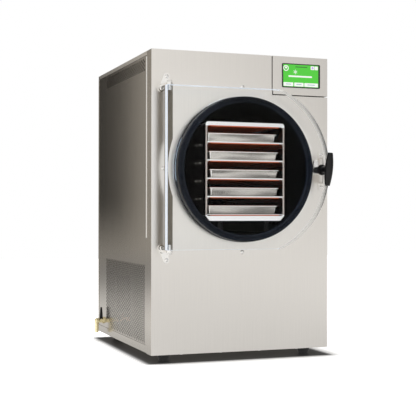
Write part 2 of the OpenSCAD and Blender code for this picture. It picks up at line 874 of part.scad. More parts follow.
// Mains socket and the seat of the power switch, in one moulding on the rear panel
module power_inlet() {
  left = inlet_x - inlet_w / 2;
  low = inlet_z - inlet_h / 2;
  color(black) placed() difference() {
    union() {
      along_y(body_d, body_d + 3) translate([left, low]) rounded_rect(inlet_w, inlet_h, 3);
      box_at(left + 3.3, left + inlet_w - 3.3, body_d - 24, body_d + 1,
        low + 3.3, low + inlet_h - 3.3);
    }
    box_at(inlet_x - 12, inlet_x + 12, body_d - 18, body_d + 4, low + 8, low + 24);
    box_at(inlet_x - rocker_w / 2 - touch, inlet_x + rocker_w / 2 + touch, body_d - 12,
      body_d + 4, rocker_z - rocker_r - touch, rocker_z + rocker_r + touch);
    rod_x(rocker_pin_r + run_gap, inlet_x - rocker_w / 2 - 3, inlet_x + rocker_w / 2 + 3,
      rocker_y - 6, rocker_z);
  }
  color(brass) placed() for (x = [-7, 0, 7])
    box_at(inlet_x + x - 1, inlet_x + x + 1, body_d - 19, body_d - 5,
      low + (x == 0 ? 18 : 13), low + (x == 0 ? 22 : 17));
}

// Rocker with a dished face, tipped towards off
module power_switch() {
  color("darkred") placed() translate([0, rocker_y - 6, rocker_z])
    rotate([-rocker_tilt, 0, 0]) {
      along_x(inlet_x - rocker_w / 2, inlet_x + rocker_w / 2) difference() {
        intersection() {
          circle(r = rocker_r);
          translate([-4, -12]) square([12, 24]);
        }
        translate([32, 0]) circle(r = 26);
      }
      rod_x(rocker_pin_r, inlet_x - rocker_w / 2 - 2.5, inlet_x + rocker_w / 2 + 2.5, 0, 0);
    }
}

// ---- Drain ----

elbow_r = spout_d / 2 + 1.5;
spout_l = 24;
spout_drop = 33;
spout_x = -side_x - drain_reach + elbow_r;
valve_x = -side_x - 8.5;
drain_joint_x = -side_x + hem_step + sheet_t + 8;
lever_t = 2.5;
lever_gap = 0.4;
lever_stem_r = 3;

// Copper pipe from the chamber's lowest point to the valve
module drain_pipe() {
  r = drain_pipe_d / 2;
  color(copper) placed() difference() {
    union() {
      rod_z(r, drain_z, axis_z - chamber_r - 0.5, 0, drain_y);
      rod_x(r, drain_joint_x, 0, drain_y, drain_z);
      translate([0, drain_y, drain_z]) sphere(r = r);
    }
    rod_z(r - 1.5, drain_z, axis_z - chamber_r + 1, 0, drain_y);
    rod_x(r - 1.5, drain_joint_x - 1, 0, drain_y, drain_z);
  }
}

// Brass quarter-turn valve with an elbow and a spout that points down
module drain_valve() {
  color(brass) placed() difference() {
    union() {
      rod_x(drain_pipe_d / 2, -side_x - 4, drain_joint_x - touch, drain_y, drain_z);
      translate([-side_x - 3, drain_y, drain_z]) rotate([0, 90, 0])
        cylinder(r = 9, h = 3 + hem_step, $fn = 6);
      rod_x(elbow_r, spout_x, -side_x - 2, drain_y, drain_z);
      translate([spout_x, drain_y, drain_z]) sphere(r = elbow_r);
      translate([spout_x, drain_y, drain_z]) rotate_extrude() polygon([
        [0, -spout_drop], [spout_d / 2, -spout_drop], [spout_d / 2, spout_l - spout_drop],
        [elbow_r - 0.3, 0], [0, 0]]);
      rod_y(lever_stem_r, drain_y - elbow_r - lever_t - 3, drain_y, valve_x, drain_z);
      rod_y(5, drain_y - elbow_r - lever_t - 3, drain_y - elbow_r - lever_t - 2 * lever_gap,
        valve_x, drain_z);
    }
    rod_x(spout_bore / 2, spout_x, drain_joint_x, drain_y, drain_z);
    rod_z(spout_bore / 2, drain_z - spout_drop - 1, drain_z, spout_x, drain_y);
  }
}

// Flat lever that stands up when the valve is shut
module drain_lever() {
  plate_y = drain_y - elbow_r - lever_gap - lever_t;
  color(black) placed() difference() {
    along_y(plate_y, plate_y + lever_t) hull() {
      translate([valve_x, drain_z]) circle(r = 5, $fn = 32);
      translate([valve_x, drain_z + drain_lever_l - 2.6]) circle(r = 2.6, $fn = 32);
    }
    rod_y(lever_stem_r + run_gap, plate_y - 1, plate_y + lever_t + 1, valve_x, drain_z);
  }
}

// ---- Rack ----

rack_corner = 7;
lip_t = 1.2;
rack_y = -rack_front;
rack_back = chamber_end - rack_gap;
tray_l = rack_back - rack_y - tray_set;
screw_y = [rack_y + 38, rack_y + 69];
rack_screw_d = 3;

// The rack's outline in x and z: round at the top, cut at the foot to clear the chamber
module rack_outline(inset) {
  half = rack_w / 2 - inset;
  low = rack_low + inset;
  high = rack_high - inset;
  r = rack_corner - inset;
  cut = rack_base_h;
  union() {
    translate([-half, low + cut]) square([2 * half, high - r - low - cut]);
    translate([-half + r, low + cut]) square([2 * (half - r), high - low - cut]);
    for (side = [-1, 1]) translate([side * (half - r), high - r]) circle(r = r);
    polygon([[-half, low + cut], [half, low + cut], [half - 0.9 * cut, low],
      [-half + 0.9 * cut, low]]);
  }
}

// Where the front of bay n ends at its top
function bay_top(n) = n == 1 ? rack_high - rack_cap_h : shelf_z(n - 1) - shelf_lip - seam;

// Rounds off the upper corners of the bays at the rack's front, down to a blunt edge
bay_edge = 0.4;
module bay_corners() {
  for (n = [1:tray_count], side = [-1, 1])
    translate([side * (rack_w / 2 - 2 * rack_t), bay_top(n)]) difference() {
      translate([side > 0 ? -bay_round : -bay_edge, -bay_round])
        square([bay_round + bay_edge, bay_round]);
      translate([-side * bay_round, -bay_round]) circle(r = bay_round - bay_edge);
    }
}

// Folded frame: top, sides and foot, with a lip all round its front and a plate under its
// top for the upper heating mat
module rack_frame() {
  plate_z = rack_high - rack_cap_h + mat_t;
  color(bright) placed() difference() {
    union() {
      along_y(rack_y, rack_back) difference() {
        rack_outline(0);
        rack_outline(rack_t);
      }
      along_y(rack_y, rack_y + lip_t) union() {
        difference() {
          rack_outline(0);
          translate([-rack_w / 2 + 2 * rack_t, rack_low + rack_base_h])
            square([rack_w - 4 * rack_t, rack_high - rack_low - rack_base_h - rack_cap_h]);
        }
        bay_corners();
      }
      box_at(-rack_w / 2 + rack_t / 2, rack_w / 2 - rack_t / 2, rack_y + lip_t / 2,
        rack_back, plate_z, plate_z + shelf_t);
    }
    rack_screw_holes();
  }
}

module rack_screw_holes() {
  for (n = [1:tray_count - 1], y = screw_y)
    rod_x(rack_screw_d / 2 + 0.1, -rack_w, rack_w, y, shelf_z(n) - shelf_flange / 2);
}

// Screws through the rack's sides into the flanges of the shelves
module rack_screws() {
  color(bright) placed()
    for (n = [1:tray_count - 1], y = screw_y, side = [-1, 1])
      translate([side * rack_w / 2, y, shelf_z(n) - shelf_flange / 2])
        rotate([0, side * 90, 0]) pan_screw(rack_screw_d, rack_t + shelf_t + 2.5);
}

// Nylon runners that carry the rack on the chamber's wall
module rack_runners() {
  outer = runner_x + runner_w / 2;
  runner_low = axis_z - sqrt(pow(chamber_r, 2) - pow(outer, 2)) + touch;
  color(black) placed() for (side = [-1, 1])
    translate([side * runner_x, 0, 0])
      box_at(-runner_w / 2, runner_w / 2, rack_y + 12, rack_back - 12, runner_low, rack_low);
}

// Folded shelf: lip along its front edge, flanges down its sides. The lowest one has short
// flanges that stand on the sloping edges of the rack's foot.
module shelf(n) {
  z = shelf_z(n);
  lowest = n == tray_count;
  clear_h = z - rack_low - rack_base_h - seam;
  half = rack_w / 2 - rack_t - (lowest ? rack_t : 0.1);
  lip = lowest ? shelf_t : shelf_lip;
  flange = lowest ? clear_h : shelf_flange;
  front = rack_y + lip_t + seam;
  color(bright) placed() difference() {
    union() {
      box_at(-half, half, front, rack_back, z - shelf_t, z);
      box_at(-rack_w / 2 + 2 * rack_t + seam, rack_w / 2 - 2 * rack_t - seam, rack_y,
        rack_y + lip_t + 2 * seam, z - lip, z);
      for (side = [-1, 1])
        translate([side * (half - shelf_t / 2), 0, 0])
          box_at(-shelf_t / 2, shelf_t / 2, front, rack_back, z - flange, z);
    }
    rack_screw_holes();
  }
}

// Heating mat bonded under a shelf, or under the rack's top for n = 0
module heater_mat(n) {
  half = rack_w / 2 - mat_inset;
  top = n == 0 ? rack_high - rack_cap_h + mat_t : shelf_z(n) - shelf_t;
  front = rack_y + lip_t + 2 * seam + 0.4;
  color([0.75, 0.30, 0.18]) placed()
    box_at(-half, half, front, rack_back - 15, top - mat_t, top);
}

module tray_plan(w, l, r) {
  translate([-w / 2, 0]) rounded_rect(w, l, r);
}

// Walls that lean in from top to floor, drawn from the floor up
module tray_block(w, l, h, lean) {
  translate([0, l / 2, 0])
    linear_extrude(h, scale = [w / (w - 2 * lean), l / (l - 2 * lean)], slices = 1)
      translate([0, lean - l / 2]) tray_plan(w - 2 * lean, l - 2 * lean, tray_corner - lean);
}

// Drawn steel tray with leaning walls and a rolled rim
module tray(n) {
  wall_w = tray_w - 2 * rim_w;
  wall_l = tray_l - 2 * rim_w;
  front = rack_y + tray_set;
  color(bright) placed() translate([tray_shift[n - 1], front, shelf_z(n)]) difference() {
    union() {
      translate([0, rim_w, 0]) tray_block(wall_w, wall_l, tray_h, tray_lean);
      translate([0, 0, tray_h - rim_h]) linear_extrude(rim_h)
        tray_plan(tray_w, tray_l, tray_corner);
    }
    translate([0, rim_w + tray_t, tray_t])
      tray_block(wall_w - 2 * tray_t, wall_l - 2 * tray_t, tray_h + 1, tray_lean);
  }
}

// ---- Door ----

module door_outline() {
  intersection() {
    circle(r = door_r);
    translate([0, -door_half_h]) square([door_r + 1, 2 * door_half_h]);
  }
  translate([-door_r, -door_half_h]) square([door_r, 2 * door_half_h]);
}

// The rebate along the hinge edge, less the round sealing land
module rebate_outline(gap) {
  difference() {
    translate([-door_r, -door_half_h]) square([rebate_w - gap, 2 * door_half_h]);
    circle(r = land_r + gap);
  }
}

module door() {
  color([0.8, 0.9, 0.9, 0.35]) placed() difference() {
    along_y(door_front, door_back) translate([0, axis_z]) door_outline();
    along_y(door_back - rebate_d, door_back + 1) translate([0, axis_z]) union() {
      rebate_outline(0);
      translate([-door_r - 1, -door_half_h - 1]) square([1.5, 2 * door_half_h + 2]);
    }
    rod_z(pin_d / 2 + run_gap, door_high - pin_depth, door_high + 1, hinge_x, hinge_y);
    rod_z(pin_d / 2 + run_gap, door_low - 1, door_low + pin_depth, hinge_x, hinge_y);
    rod_y(shaft_d / 2 + run_gap, door_front - 1, door_back + 1, handle_x, axis_z);
  }
}

// Steel strip that fills the rebate
module hinge_strip() {
  color(dark_steel) placed() along_y(door_back - rebate_d, door_back)
    translate([0, axis_z]) rebate_outline(0.2);
}

// Bracket for the hinge pin above the door; the lower one mirrors it
module bracket_shape() {
  arm_low = door_half_h + arm_gap;
  difference() {
    union() {
      along_y(-bracket_t, 0) hull() {
        for (p = hinge_screw_offsets)
          translate([hinge_x + p[0], door_half_h + p[1]])
            circle(r = bracket_end_r, $fn = 32);
        translate([hinge_x, arm_low + bracket_t / 2]) circle(r = bracket_end_r, $fn = 32);
      }
      rod_z(bracket_end_r, arm_low, arm_low + bracket_t, hinge_x, hinge_y);
      box_at(hinge_x - bracket_end_r, hinge_x + bracket_end_r, hinge_y, -bracket_t / 2,
        arm_low, arm_low + bracket_t);
    }
    for (p = hinge_screw_offsets)
      rod_y(hinge_screw_d / 2 + 0.1, -bracket_t - 1, 1, hinge_x + p[0], door_half_h + p[1]);
    rod_z(pin_d / 2 + 0.05, arm_low - 1, arm_low + bracket_t + 1, hinge_x, hinge_y);
  }
}

module hinge_bracket_top() {
  color(bright) placed() translate([0, 0, axis_z]) bracket_shape();
}

module hinge_bracket_bottom() {
  color(bright) placed() translate([0, 0, axis_z]) mirror([0, 0, 1]) bracket_shape();
}

// Shoulder bolts through the bracket arms into the door
module hinge_pins() {
  seat = door_half_h + arm_gap + bracket_t;
  color(black) placed() translate([hinge_x, hinge_y, axis_z])
    for (side = [0, 1]) mirror([0, 0, side]) {
      rod_z(pin_d / 2, door_half_h - pin_depth + 0.5, seat + 0.1, 0, 0);
      translate([0, 0, seat]) cylinder(r = 6.6, h = 5, $fn = 6);
    }
}

// ---- Handle and latch ----

// Bearing collar on the front of the door
module handle_collar() {
  color(bright) placed() difference() {
    union() {
      rod_y(collar_d / 2, door_front - 2.5, door_front, handle_x, axis_z);
      rod_y(collar_d / 2 - 3, collar_front, door_front, handle_x, axis_z);
    }
    rod_y(shaft_d / 2 + run_gap, collar_front - 1, door_front + 1, handle_x, axis_z);
  }
}

pawl_back = -strike_reach + strike_t + 1 + pawl_t;
shaft_end = pawl_back + 9;
shaft_tip = grip_y - 1;

// Shaft with a shoulder that bears on the back of the door
module handle_shaft() {
  color(bright) placed() {
    rod_y(shaft_d / 2, shaft_tip, shaft_end, handle_x, axis_z);
    rod_y(shaft_d / 2 + 3, door_back + touch, pawl_back - pawl_t, handle_x, axis_z);
  }
}

// Barrel-shaped grip on a neck
module handle_lever() {
  taper = (grip_d - grip_end_d) / 2;
  steps = 12;
  color(black) placed() difference() {
    union() {
      translate([handle_x, grip_y, axis_z]) rotate([0, grip_lean, 0])
        rotate_extrude() polygon(concat([[0, -grip_l / 2]],
          [for (n = [0:steps]) let (t = 2 * n / steps - 1)
            [grip_d / 2 - taper * t * t, t * grip_l / 2]],
          [[0, grip_l / 2]]));
      rod_y(shaft_d / 2 + 3.5, grip_y, collar_front - touch, handle_x, axis_z);
    }
    rod_y(shaft_d / 2 + 0.02, shaft_tip - touch, collar_front + 1, handle_x, axis_z);
  }
}

// Pawl that points up when released and turns behind the strike
module latch_pawl() {
  tip_r = 6;
  color(bright) placed() difference() {
    along_y(pawl_back - pawl_t, pawl_back) translate([handle_x, axis_z]) hull() {
      circle(r = pawl_w / 2, $fn = 32);
      translate([0, pawl_l - tip_r]) circle(r = tip_r, $fn = 32);
    }
    rod_y(shaft_d / 2 + 0.02, pawl_back - pawl_t - 1, pawl_back + 1, handle_x, axis_z);
  }
}

module latch_nut() {
  color(bright) placed() difference() {
    translate([handle_x, pawl_back + 7, axis_z]) rotate([90, 0, 0])
      cylinder(r = shaft_d / 2 + 4, h = 7, $fn = 6);
    rod_y(shaft_d / 2 + 0.02, pawl_back - 1, pawl_back + 8, handle_x, axis_z);
  }
}

// Bridge of folded steel that the pawl turns behind
module latch_strike() {
  half = strike_h / 2;
  bridge = half - strike_foot;
  color(steel) placed() difference() {
    translate([0, 0, axis_z]) union() {
      box_at(strike_x, strike_x + strike_w, -strike_reach, -strike_reach + strike_t,
        -bridge, bridge);
      for (side = [0, 1]) mirror([0, 0, side]) {
        box_at(strike_x, strike_x + strike_w, -strike_reach, 0, bridge - strike_t, bridge);
        box_at(strike_x, strike_x + strike_w, -strike_t, 0, bridge - strike_t, half);
      }
    }
    for (z = strike_screw_z)
      rod_y(strike_screw_d / 2 + 0.1, -strike_t - 1, 1, strike_x + strike_w / 2, z);
  }
}

module face_screws() {
  color(bright) placed() {
    for (angle = [0:90:270])
      front_screw(screw_circle_r * cos(angle), 0, axis_z + screw_circle_r * sin(angle),
        chamber_screw_d, sheet_t + flange_t + 2);
    for (p = hinge_screw_places)
      front_screw(p[0], -bracket_t, p[1], hinge_screw_d, bracket_t + sheet_t + 4);
    for (z = strike_screw_z)
      front_screw(strike_x + strike_w / 2, -strike_t, z, strike_screw_d,
        strike_t + sheet_t + 4);
  }
}

base_pan();
front_panel();
left_side_panel();
right_side_panel();
top_cover();
rear_panel();
control_panel();
touchscreen();
circuit_board();
feet();
panel_screws();
chamber();
chamber_end_plate();
chamber_flange();
gasket();
insulation();
evaporator_coil();
refrigerant_lines();
compressor();
condenser();
fan_shroud();
fan_motor();
fan_blades();
vacuum_port();
power_inlet();
power_switch();
drain_pipe();
drain_valve();
drain_lever();
rack_frame();
rack_runners();
rack_screws();
shelf(1);  // shelf_1
shelf(2);  // shelf_2
shelf(3);  // shelf_3
shelf(4);  // shelf_4
shelf(5);  // shelf_5
heater_mat(0);  // heater_mat_1
heater_mat(1);  // heater_mat_2
heater_mat(2);  // heater_mat_3
heater_mat(3);  // heater_mat_4
heater_mat(4);  // heater_mat_5
heater_mat(5);  // heater_mat_6
tray(1);  // tray_1
tray(2);  // tray_2
tray(3);  // tray_3
tray(4);  // tray_4
tray(5);  // tray_5
door();
hinge_strip();
hinge_bracket_top();
hinge_bracket_bottom();
hinge_pins();
handle_collar();
handle_shaft();
handle_lever();
latch_pawl();
latch_nut();
latch_strike();
face_screws();
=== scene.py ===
"""A freeze dryer: steel cabinet, round vacuum chamber, clear hinged door, heated rack of trays.

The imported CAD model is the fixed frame. Each section below finishes one piece or one group of
like pieces, in the order in which the machine is put together. All lengths are in metres.
"""

import json
import math

import bmesh
import bpy
from mathutils import Matrix, Vector

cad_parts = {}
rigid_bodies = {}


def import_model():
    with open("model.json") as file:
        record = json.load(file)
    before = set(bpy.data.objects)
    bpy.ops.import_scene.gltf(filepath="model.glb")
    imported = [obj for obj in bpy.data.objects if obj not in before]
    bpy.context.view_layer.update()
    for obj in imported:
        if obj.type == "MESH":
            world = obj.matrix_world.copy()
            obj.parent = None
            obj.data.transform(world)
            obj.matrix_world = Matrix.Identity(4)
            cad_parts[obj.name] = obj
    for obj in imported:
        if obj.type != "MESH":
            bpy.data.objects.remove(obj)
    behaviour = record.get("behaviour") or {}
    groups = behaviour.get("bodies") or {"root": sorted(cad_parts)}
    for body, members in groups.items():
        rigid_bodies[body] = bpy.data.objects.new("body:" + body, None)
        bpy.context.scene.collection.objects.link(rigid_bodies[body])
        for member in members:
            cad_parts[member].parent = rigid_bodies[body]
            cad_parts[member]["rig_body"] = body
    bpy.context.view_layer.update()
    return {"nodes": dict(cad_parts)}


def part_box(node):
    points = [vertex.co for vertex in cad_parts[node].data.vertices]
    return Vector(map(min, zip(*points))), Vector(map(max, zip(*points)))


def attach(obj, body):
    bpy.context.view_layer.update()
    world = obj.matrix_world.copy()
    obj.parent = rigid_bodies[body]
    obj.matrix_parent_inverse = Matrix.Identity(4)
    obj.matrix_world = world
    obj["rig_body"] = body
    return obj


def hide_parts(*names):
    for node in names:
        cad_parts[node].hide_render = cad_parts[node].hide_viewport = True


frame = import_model()
nodes = frame["nodes"]

# ---- Camera ----
# The camera stands low in front of the machine and to its left, and looks almost level. Its
# long lens keeps the cabinet's upright edges nearly parallel.

camera_place = Vector((-0.8827, -2.424, 0.3523))
camera_heading = math.radians(20.08)
camera_pitch = math.radians(0.287)
camera_roll = math.radians(0.055)
camera_lens = 85.47
sensor_width = 36

camera_data = bpy.data.cameras.new("camera")
camera_data.lens = camera_lens
camera_data.sensor_width = sensor_width
camera = bpy.data.objects.new("camera", camera_data)
bpy.context.scene.collection.objects.link(camera)
camera.matrix_world = (
    Matrix.Translation(camera_place)
    @ Matrix.Rotation(-camera_heading, 4, "Z")
    @ Matrix.Rotation(math.pi / 2 + camera_pitch, 4, "X")
    @ Matrix.Rotation(camera_roll, 4, "Z")
)
bpy.context.scene.camera = camera

# ---- Studio ----
# A white floor and a white surround, darker high up, on the right and towards the back, one
# large soft lamp overhead, and a dark card that only reflections show. Steel also reflects the
# floor's glow, which is brightest on the left and far to the right, and fades to the back. A
# painted contact shadow darkens the floor right round the base pan.

surround_white = (1.07, 1.055, 1.03, 1)
surround_high = (0.78, 0.77, 0.755, 1)
surround_right = (0.42, 0.41, 0.395, 1)
surround_dark = (0.58, 0.545, 0.49, 1)
soft_low = (0.03, 0.03, 0.03, 1)
soft_high = (0.60, 0.60, 0.60, 1)
soft_front = (0.75, 0.74, 0.72, 1)
surround_rise = (-0.05, 0.45)
surround_turn = (0.25, 0.60)
soft_rise = (0.25, 0.85)
soft_ahead = (-0.85, -0.35)
dark_towards = Vector((-0.42, 0.9, 0.0)).normalized()
dark_edge = 0.45
dark_core = 0.88
floor_white = (0.95, 0.95, 0.95, 1)
floor_painted_shadow = (0.05, 0.05, 0.053, 1)
painted_shadow_reach = 0.022
floor_in_steel = (0.08, 0.08, 0.08, 1)
floor_left_glow = 0.92
floor_front_glow = 0.54
floor_right_glow = 0.44
floor_back_glow = 0.26
floor_left_reach = (-0.5, -0.1)
floor_right_reach = (0.3, 1.5)
floor_back_reach = (0.4, 3.0)
floor_tint = (1, 0.99, 0.97, 1)
floor_roughness = 0.55
floor_lift = 0.95
shadow_reach = 0.065
floor_half = 5.0
lamp_size = 1.7
lamp_power = 62
lamp_place = Vector((-0.25, 0.35, 2.45))
lamp_aim = Vector((0, 0, 0.35))
card_left = -0.50
card_right = 0.8
card_back = 0.9
card_low = 0.05
card_clear = 0.42
card_high = 1.6
card_black = (0.02, 0.018, 0.015, 1)
first_bounce = 0.5

bpy.context.scene.view_settings.view_transform = "Standard"


def link(tree, source, target):
    tree.links.new(source, target)


def math_node(tree, operation, first, second=None):
    node = tree.nodes.new("ShaderNodeMath")
    node.operation = operation
    for socket, value in zip(node.inputs, (first, second)):
        if value is None:
            continue
        if isinstance(value, (int, float)):
            socket.default_value = value
        else:
            link(tree, value, socket)
    return node.outputs[0]


def colour_mix(tree, factor, first, second):
    node = tree.nodes.new("ShaderNodeMix")
    node.data_type = "RGBA"
    for name, value in (("Factor", factor), ("A", first), ("B", second)):
        socket = [s for s in node.inputs if s.name == name and s.enabled][0]
        if isinstance(value, (int, float, tuple)):
            socket.default_value = value
        else:
            link(tree, value, socket)
    return [s for s in node.outputs if s.enabled][0]


def ranged(tree, value, from_low, from_high, to_low, to_high, kind="SMOOTHSTEP"):
    node = tree.nodes.new("ShaderNodeMapRange")
    node.interpolation_type = kind
    link(tree, value, node.inputs["Value"])
    for name, number in (("From Min", from_low), ("From Max", from_high),
                         ("To Min", to_low), ("To Max", to_high)):
        node.inputs[name].default_value = number
    return node.outputs["Result"]


def seen_straight(tree, ray):
    """One where the camera looks straight, or through clear plastic, and not by reflection."""
    either = math_node(tree, "MAXIMUM", ray["Is Camera Ray"], ray["Is Transmission Ray"])
    direct = math_node(tree, "LESS_THAN", ray["Glossy Depth"], first_bounce)
    return math_node(tree, "MULTIPLY", either, direct)


world = bpy.data.worlds.new("studio")
bpy.context.scene.world = world
world.use_nodes = True
tree = world.node_tree
tree.nodes.clear()
direction = tree.nodes.new("ShaderNodeTexCoord").outputs["Generated"]
towards = tree.nodes.new("ShaderNodeVectorMath")
towards.operation = "DOT_PRODUCT"
link(tree, direction, towards.inputs[0])
towards.inputs[1].default_value = dark_towards
split = tree.nodes.new("ShaderNodeSeparateXYZ")
link(tree, direction, split.inputs[0])
height = ranged(tree, split.outputs["Z"], *surround_rise, 0, 1)
bright = colour_mix(tree, height, surround_white, surround_high)
right = ranged(tree, split.outputs["X"], *surround_turn, 0, 1)
bright = colour_mix(tree, right, bright, surround_right)
shade = ranged(tree, towards.outputs["Value"], dark_edge, dark_core, 0, 1)
light = colour_mix(tree, shade, bright, surround_dark)
ray = tree.nodes.new("ShaderNodeLightPath").outputs
seen = seen_straight(tree, ray)
overhead = ranged(tree, split.outputs["Z"], *soft_rise, 0, 1)
ahead = ranged(tree, split.outputs["Y"], *soft_ahead, 1, 0)
spread = colour_mix(tree, ahead, colour_mix(tree, overhead, soft_low, soft_high), soft_front)
soft = colour_mix(tree, ray["Is Diffuse Ray"], light, spread)
final = colour_mix(tree, seen, soft, (1, 1, 1, 1))
background = tree.nodes.new("ShaderNodeBackground")
link(tree, final, background.inputs["Color"])
output = tree.nodes.new("ShaderNodeOutputWorld")
link(tree, background.outputs[0], output.inputs["Surface"])

lamp_data = bpy.data.lights.new("soft_lamp", "AREA")
lamp_data.shape = "DISK"
lamp_data.size = lamp_size
lamp_data.energy = lamp_power
lamp = bpy.data.objects.new("soft_lamp", lamp_data)
bpy.context.scene.collection.objects.link(lamp)
lamp.location = lamp_place
lamp.visible_glossy = False
lamp.visible_camera = False
lamp.rotation_euler = (lamp_aim - lamp_place).to_track_quat("-Z", "Y").to_euler()


def new_object(name, mesh):
    piece = bpy.data.objects.new(name, mesh)
    bpy.context.scene.collection.objects.link(piece)
    return piece


floor_mesh = bpy.data.meshes.new("floor")
floor_mesh.from_pydata(
    [(-floor_half, -floor_half, 0), (floor_half, -floor_half, 0),
     (floor_half, floor_half, 0), (-floor_half, floor_half, 0)], [], [(0, 1, 2, 3)])
floor = new_object("floor", floor_mesh)
floor_finish = bpy.data.materials.new("white_floor")
floor_finish.use_nodes = True
tree = floor_finish.node_tree
tree.nodes.clear()
ray = tree.nodes.new("ShaderNodeLightPath").outputs
seen = seen_straight(tree, ray)
mirrored = math_node(tree, "GREATER_THAN", ray["Glossy Depth"], first_bounce)
split = tree.nodes.new("ShaderNodeSeparateXYZ")
link(tree, tree.nodes.new("ShaderNodeTexCoord").outputs["Object"], split.inputs[0])
along, deep = split.outputs["X"], split.outputs["Y"]
low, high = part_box("base_pan")
middle, half = (low + high) / 2, (high - low) / 2
past = [math_node(tree, "MAXIMUM", math_node(tree, "SUBTRACT", math_node(
    tree, "ABSOLUTE", math_node(tree, "SUBTRACT", value, middle[n])), half[n]), 0)
    for n, value in enumerate((along, deep))]
reach = math_node(tree, "SQRT", math_node(
    tree, "ADD", *(math_node(tree, "MULTIPLY", value, value) for value in past)))
lift = math_node(tree, "MULTIPLY", seen, ranged(tree, reach, 0, shadow_reach, 0, floor_lift))
glow = math_node(tree, "ADD",
                 ranged(tree, along, *floor_left_reach, floor_left_glow, floor_front_glow),
                 ranged(tree, along, *floor_right_reach, 0, floor_right_glow))
glow = math_node(tree, "MULTIPLY", glow,
                 ranged(tree, deep, *floor_back_reach, 1, floor_back_glow))
glow = math_node(tree, "MULTIPLY", glow, mirrored)
matt = tree.nodes.new("ShaderNodeBsdfPrincipled")
# The floor's colour darkens to a painted contact shadow right round the base pan.
ground = colour_mix(tree, ranged(tree, reach, 0, painted_shadow_reach, 0, 1), floor_painted_shadow, floor_white)
link(tree, colour_mix(tree, mirrored, ground, floor_in_steel), matt.inputs["Base Color"])
matt.inputs["Roughness"].default_value = floor_roughness
matt.inputs["Emission Color"].default_value = floor_tint
link(tree, math_node(tree, "ADD", lift, glow), matt.inputs["Emission Strength"])
output = tree.nodes.new("ShaderNodeOutputMaterial")
link(tree, matt.outputs[0], output.inputs["Surface"])
floor_mesh.materials.append(floor_finish)

card_mesh = bpy.data.meshes.new("card")
card_mesh.from_pydata(
    [(card_left, card_back, card_low), (card_right, card_back, card_low),
     (card_right, card_back, card_high), (card_left, card_back, card_high)],
    [], [(0, 1, 2, 3)])
card = new_object("card", card_mesh)
card_finish = bpy.data.materials.new("dark_card")
card_finish.use_nodes = True
tree = card_finish.node_tree
matt = tree.nodes["Principled BSDF"]
matt.inputs["Base Color"].default_value = card_black
split = tree.nodes.new("ShaderNodeSeparateXYZ")
link(tree, tree.nodes.new("ShaderNodeTexCoord").outputs["Object"], split.inputs[0])
link(tree, ranged(tree, split.outputs["Z"], card_low, card_clear, 0, 1), matt.inputs["Alpha"])
card_mesh.materials.append(card_finish)
for way in ("camera", "diffuse", "transmission", "shadow", "volume_scatter"):
    setattr(card, "visible_" + way, False)

# ---- Cabinet sheets ----
# Folded stainless sheet with a vertical brushed grain. The front, the screen's panel and the
# top are a warm pale grey. The base pan, sides and rear, and the front panel's side faces, take
# a darker copy of the same steel as painted shade. The folds and a thin lip that closes the upper
# part of the left side panel's front edge take a brighter copy, as painted highlight lines.

front_colour = (0.86, 0.833, 0.795)
shaded_side_colour = (0.43, 0.40, 0.358)
edge_round = 0.0007
fold_round = 0.003
lip_proud = 0.0012
lip_deep = 0.003
lip_foot = 0.37
grain_across = 900
grain_along = 9
grain_depth = 0.000004
face_reach = 0.0003
round_over = math.radians(35)
smooth_under = math.radians(40)
weld = 0.000002
mottle_range = (0.3, 0.7)


def material(name, colour, roughness, metallic=0.0, **sockets):
    finish = bpy.data.materials.new(name)
    finish.use_nodes = True
    shader = finish.node_tree.nodes["Principled BSDF"]
    shader.inputs["Base Color"].default_value = (*colour, 1)
    shader.inputs["Roughness"].default_value = roughness
    shader.inputs["Metallic"].default_value = metallic
    for socket, value in sockets.items():
        shader.inputs[socket.replace("_", " ")].default_value = value
    finish.diffuse_color = (*colour, 1)
    return finish


def noise(tree, scale, size=(1, 1, 1), detail=3.0):
    place = tree.nodes.new("ShaderNodeTexCoord").outputs["Object"]
    mapping = tree.nodes.new("ShaderNodeMapping")
    mapping.inputs["Scale"].default_value = size
    link(tree, place, mapping.inputs["Vector"])
    texture = tree.nodes.new("ShaderNodeTexNoise")
    texture.inputs["Scale"].default_value = scale
    texture.inputs["Detail"].default_value = detail
    link(tree, mapping.outputs[0], texture.inputs["Vector"])
    return texture.outputs["Fac"]


def mottled(name, colour, roughness, scale, spread, rough_spread, metallic=0.0,
            size=(1, 1, 1), detail=3.0, bump=0.0, depth=0.0001, **sockets):
    """A finish whose noise moves its colour, roughness and bump about their means."""
    finish = material(name, colour, roughness, metallic, **sockets)
    tree = finish.node_tree
    shader = tree.nodes["Principled BSDF"]
    value = noise(tree, scale, size, detail)
    low = tuple(c * (1 - spread) for c in colour) + (1,)
    high = tuple(min(1, c * (1 + spread)) for c in colour) + (1,)
    link(tree, colour_mix(tree, ranged(tree, value, *mottle_range, 0, 1), low, high),
         shader.inputs["Base Color"])
    link(tree, ranged(tree, value, *mottle_range, roughness - rough_spread,
                      roughness + rough_spread, "LINEAR"), shader.inputs["Roughness"])
    if bump:
        raised = tree.nodes.new("ShaderNodeBump")
        raised.inputs["Strength"].default_value = bump
        raised.inputs["Distance"].default_value = depth
        link(tree, value, raised.inputs["Height"])
        link(tree, raised.outputs[0], shader.inputs["Normal"])
    return finish


def brushed(name, colour, roughness, across=(1, 1, 0)):
    """Brushed steel whose grain is fine along the axes given by across and long otherwise."""
    size = tuple(grain_across if a else grain_along for a in across)
    return mottled(name, colour, roughness, 1, 0.015, 0.02, metallic=1.0, size=size,
                   detail=1.0, bump=0.02, depth=grain_depth)


def dress(node, finish):
    """Gives a CAD node that keeps its own mesh its finish."""
    mesh = nodes[node].data
    mesh.materials.clear()
    mesh.materials.append(finish)


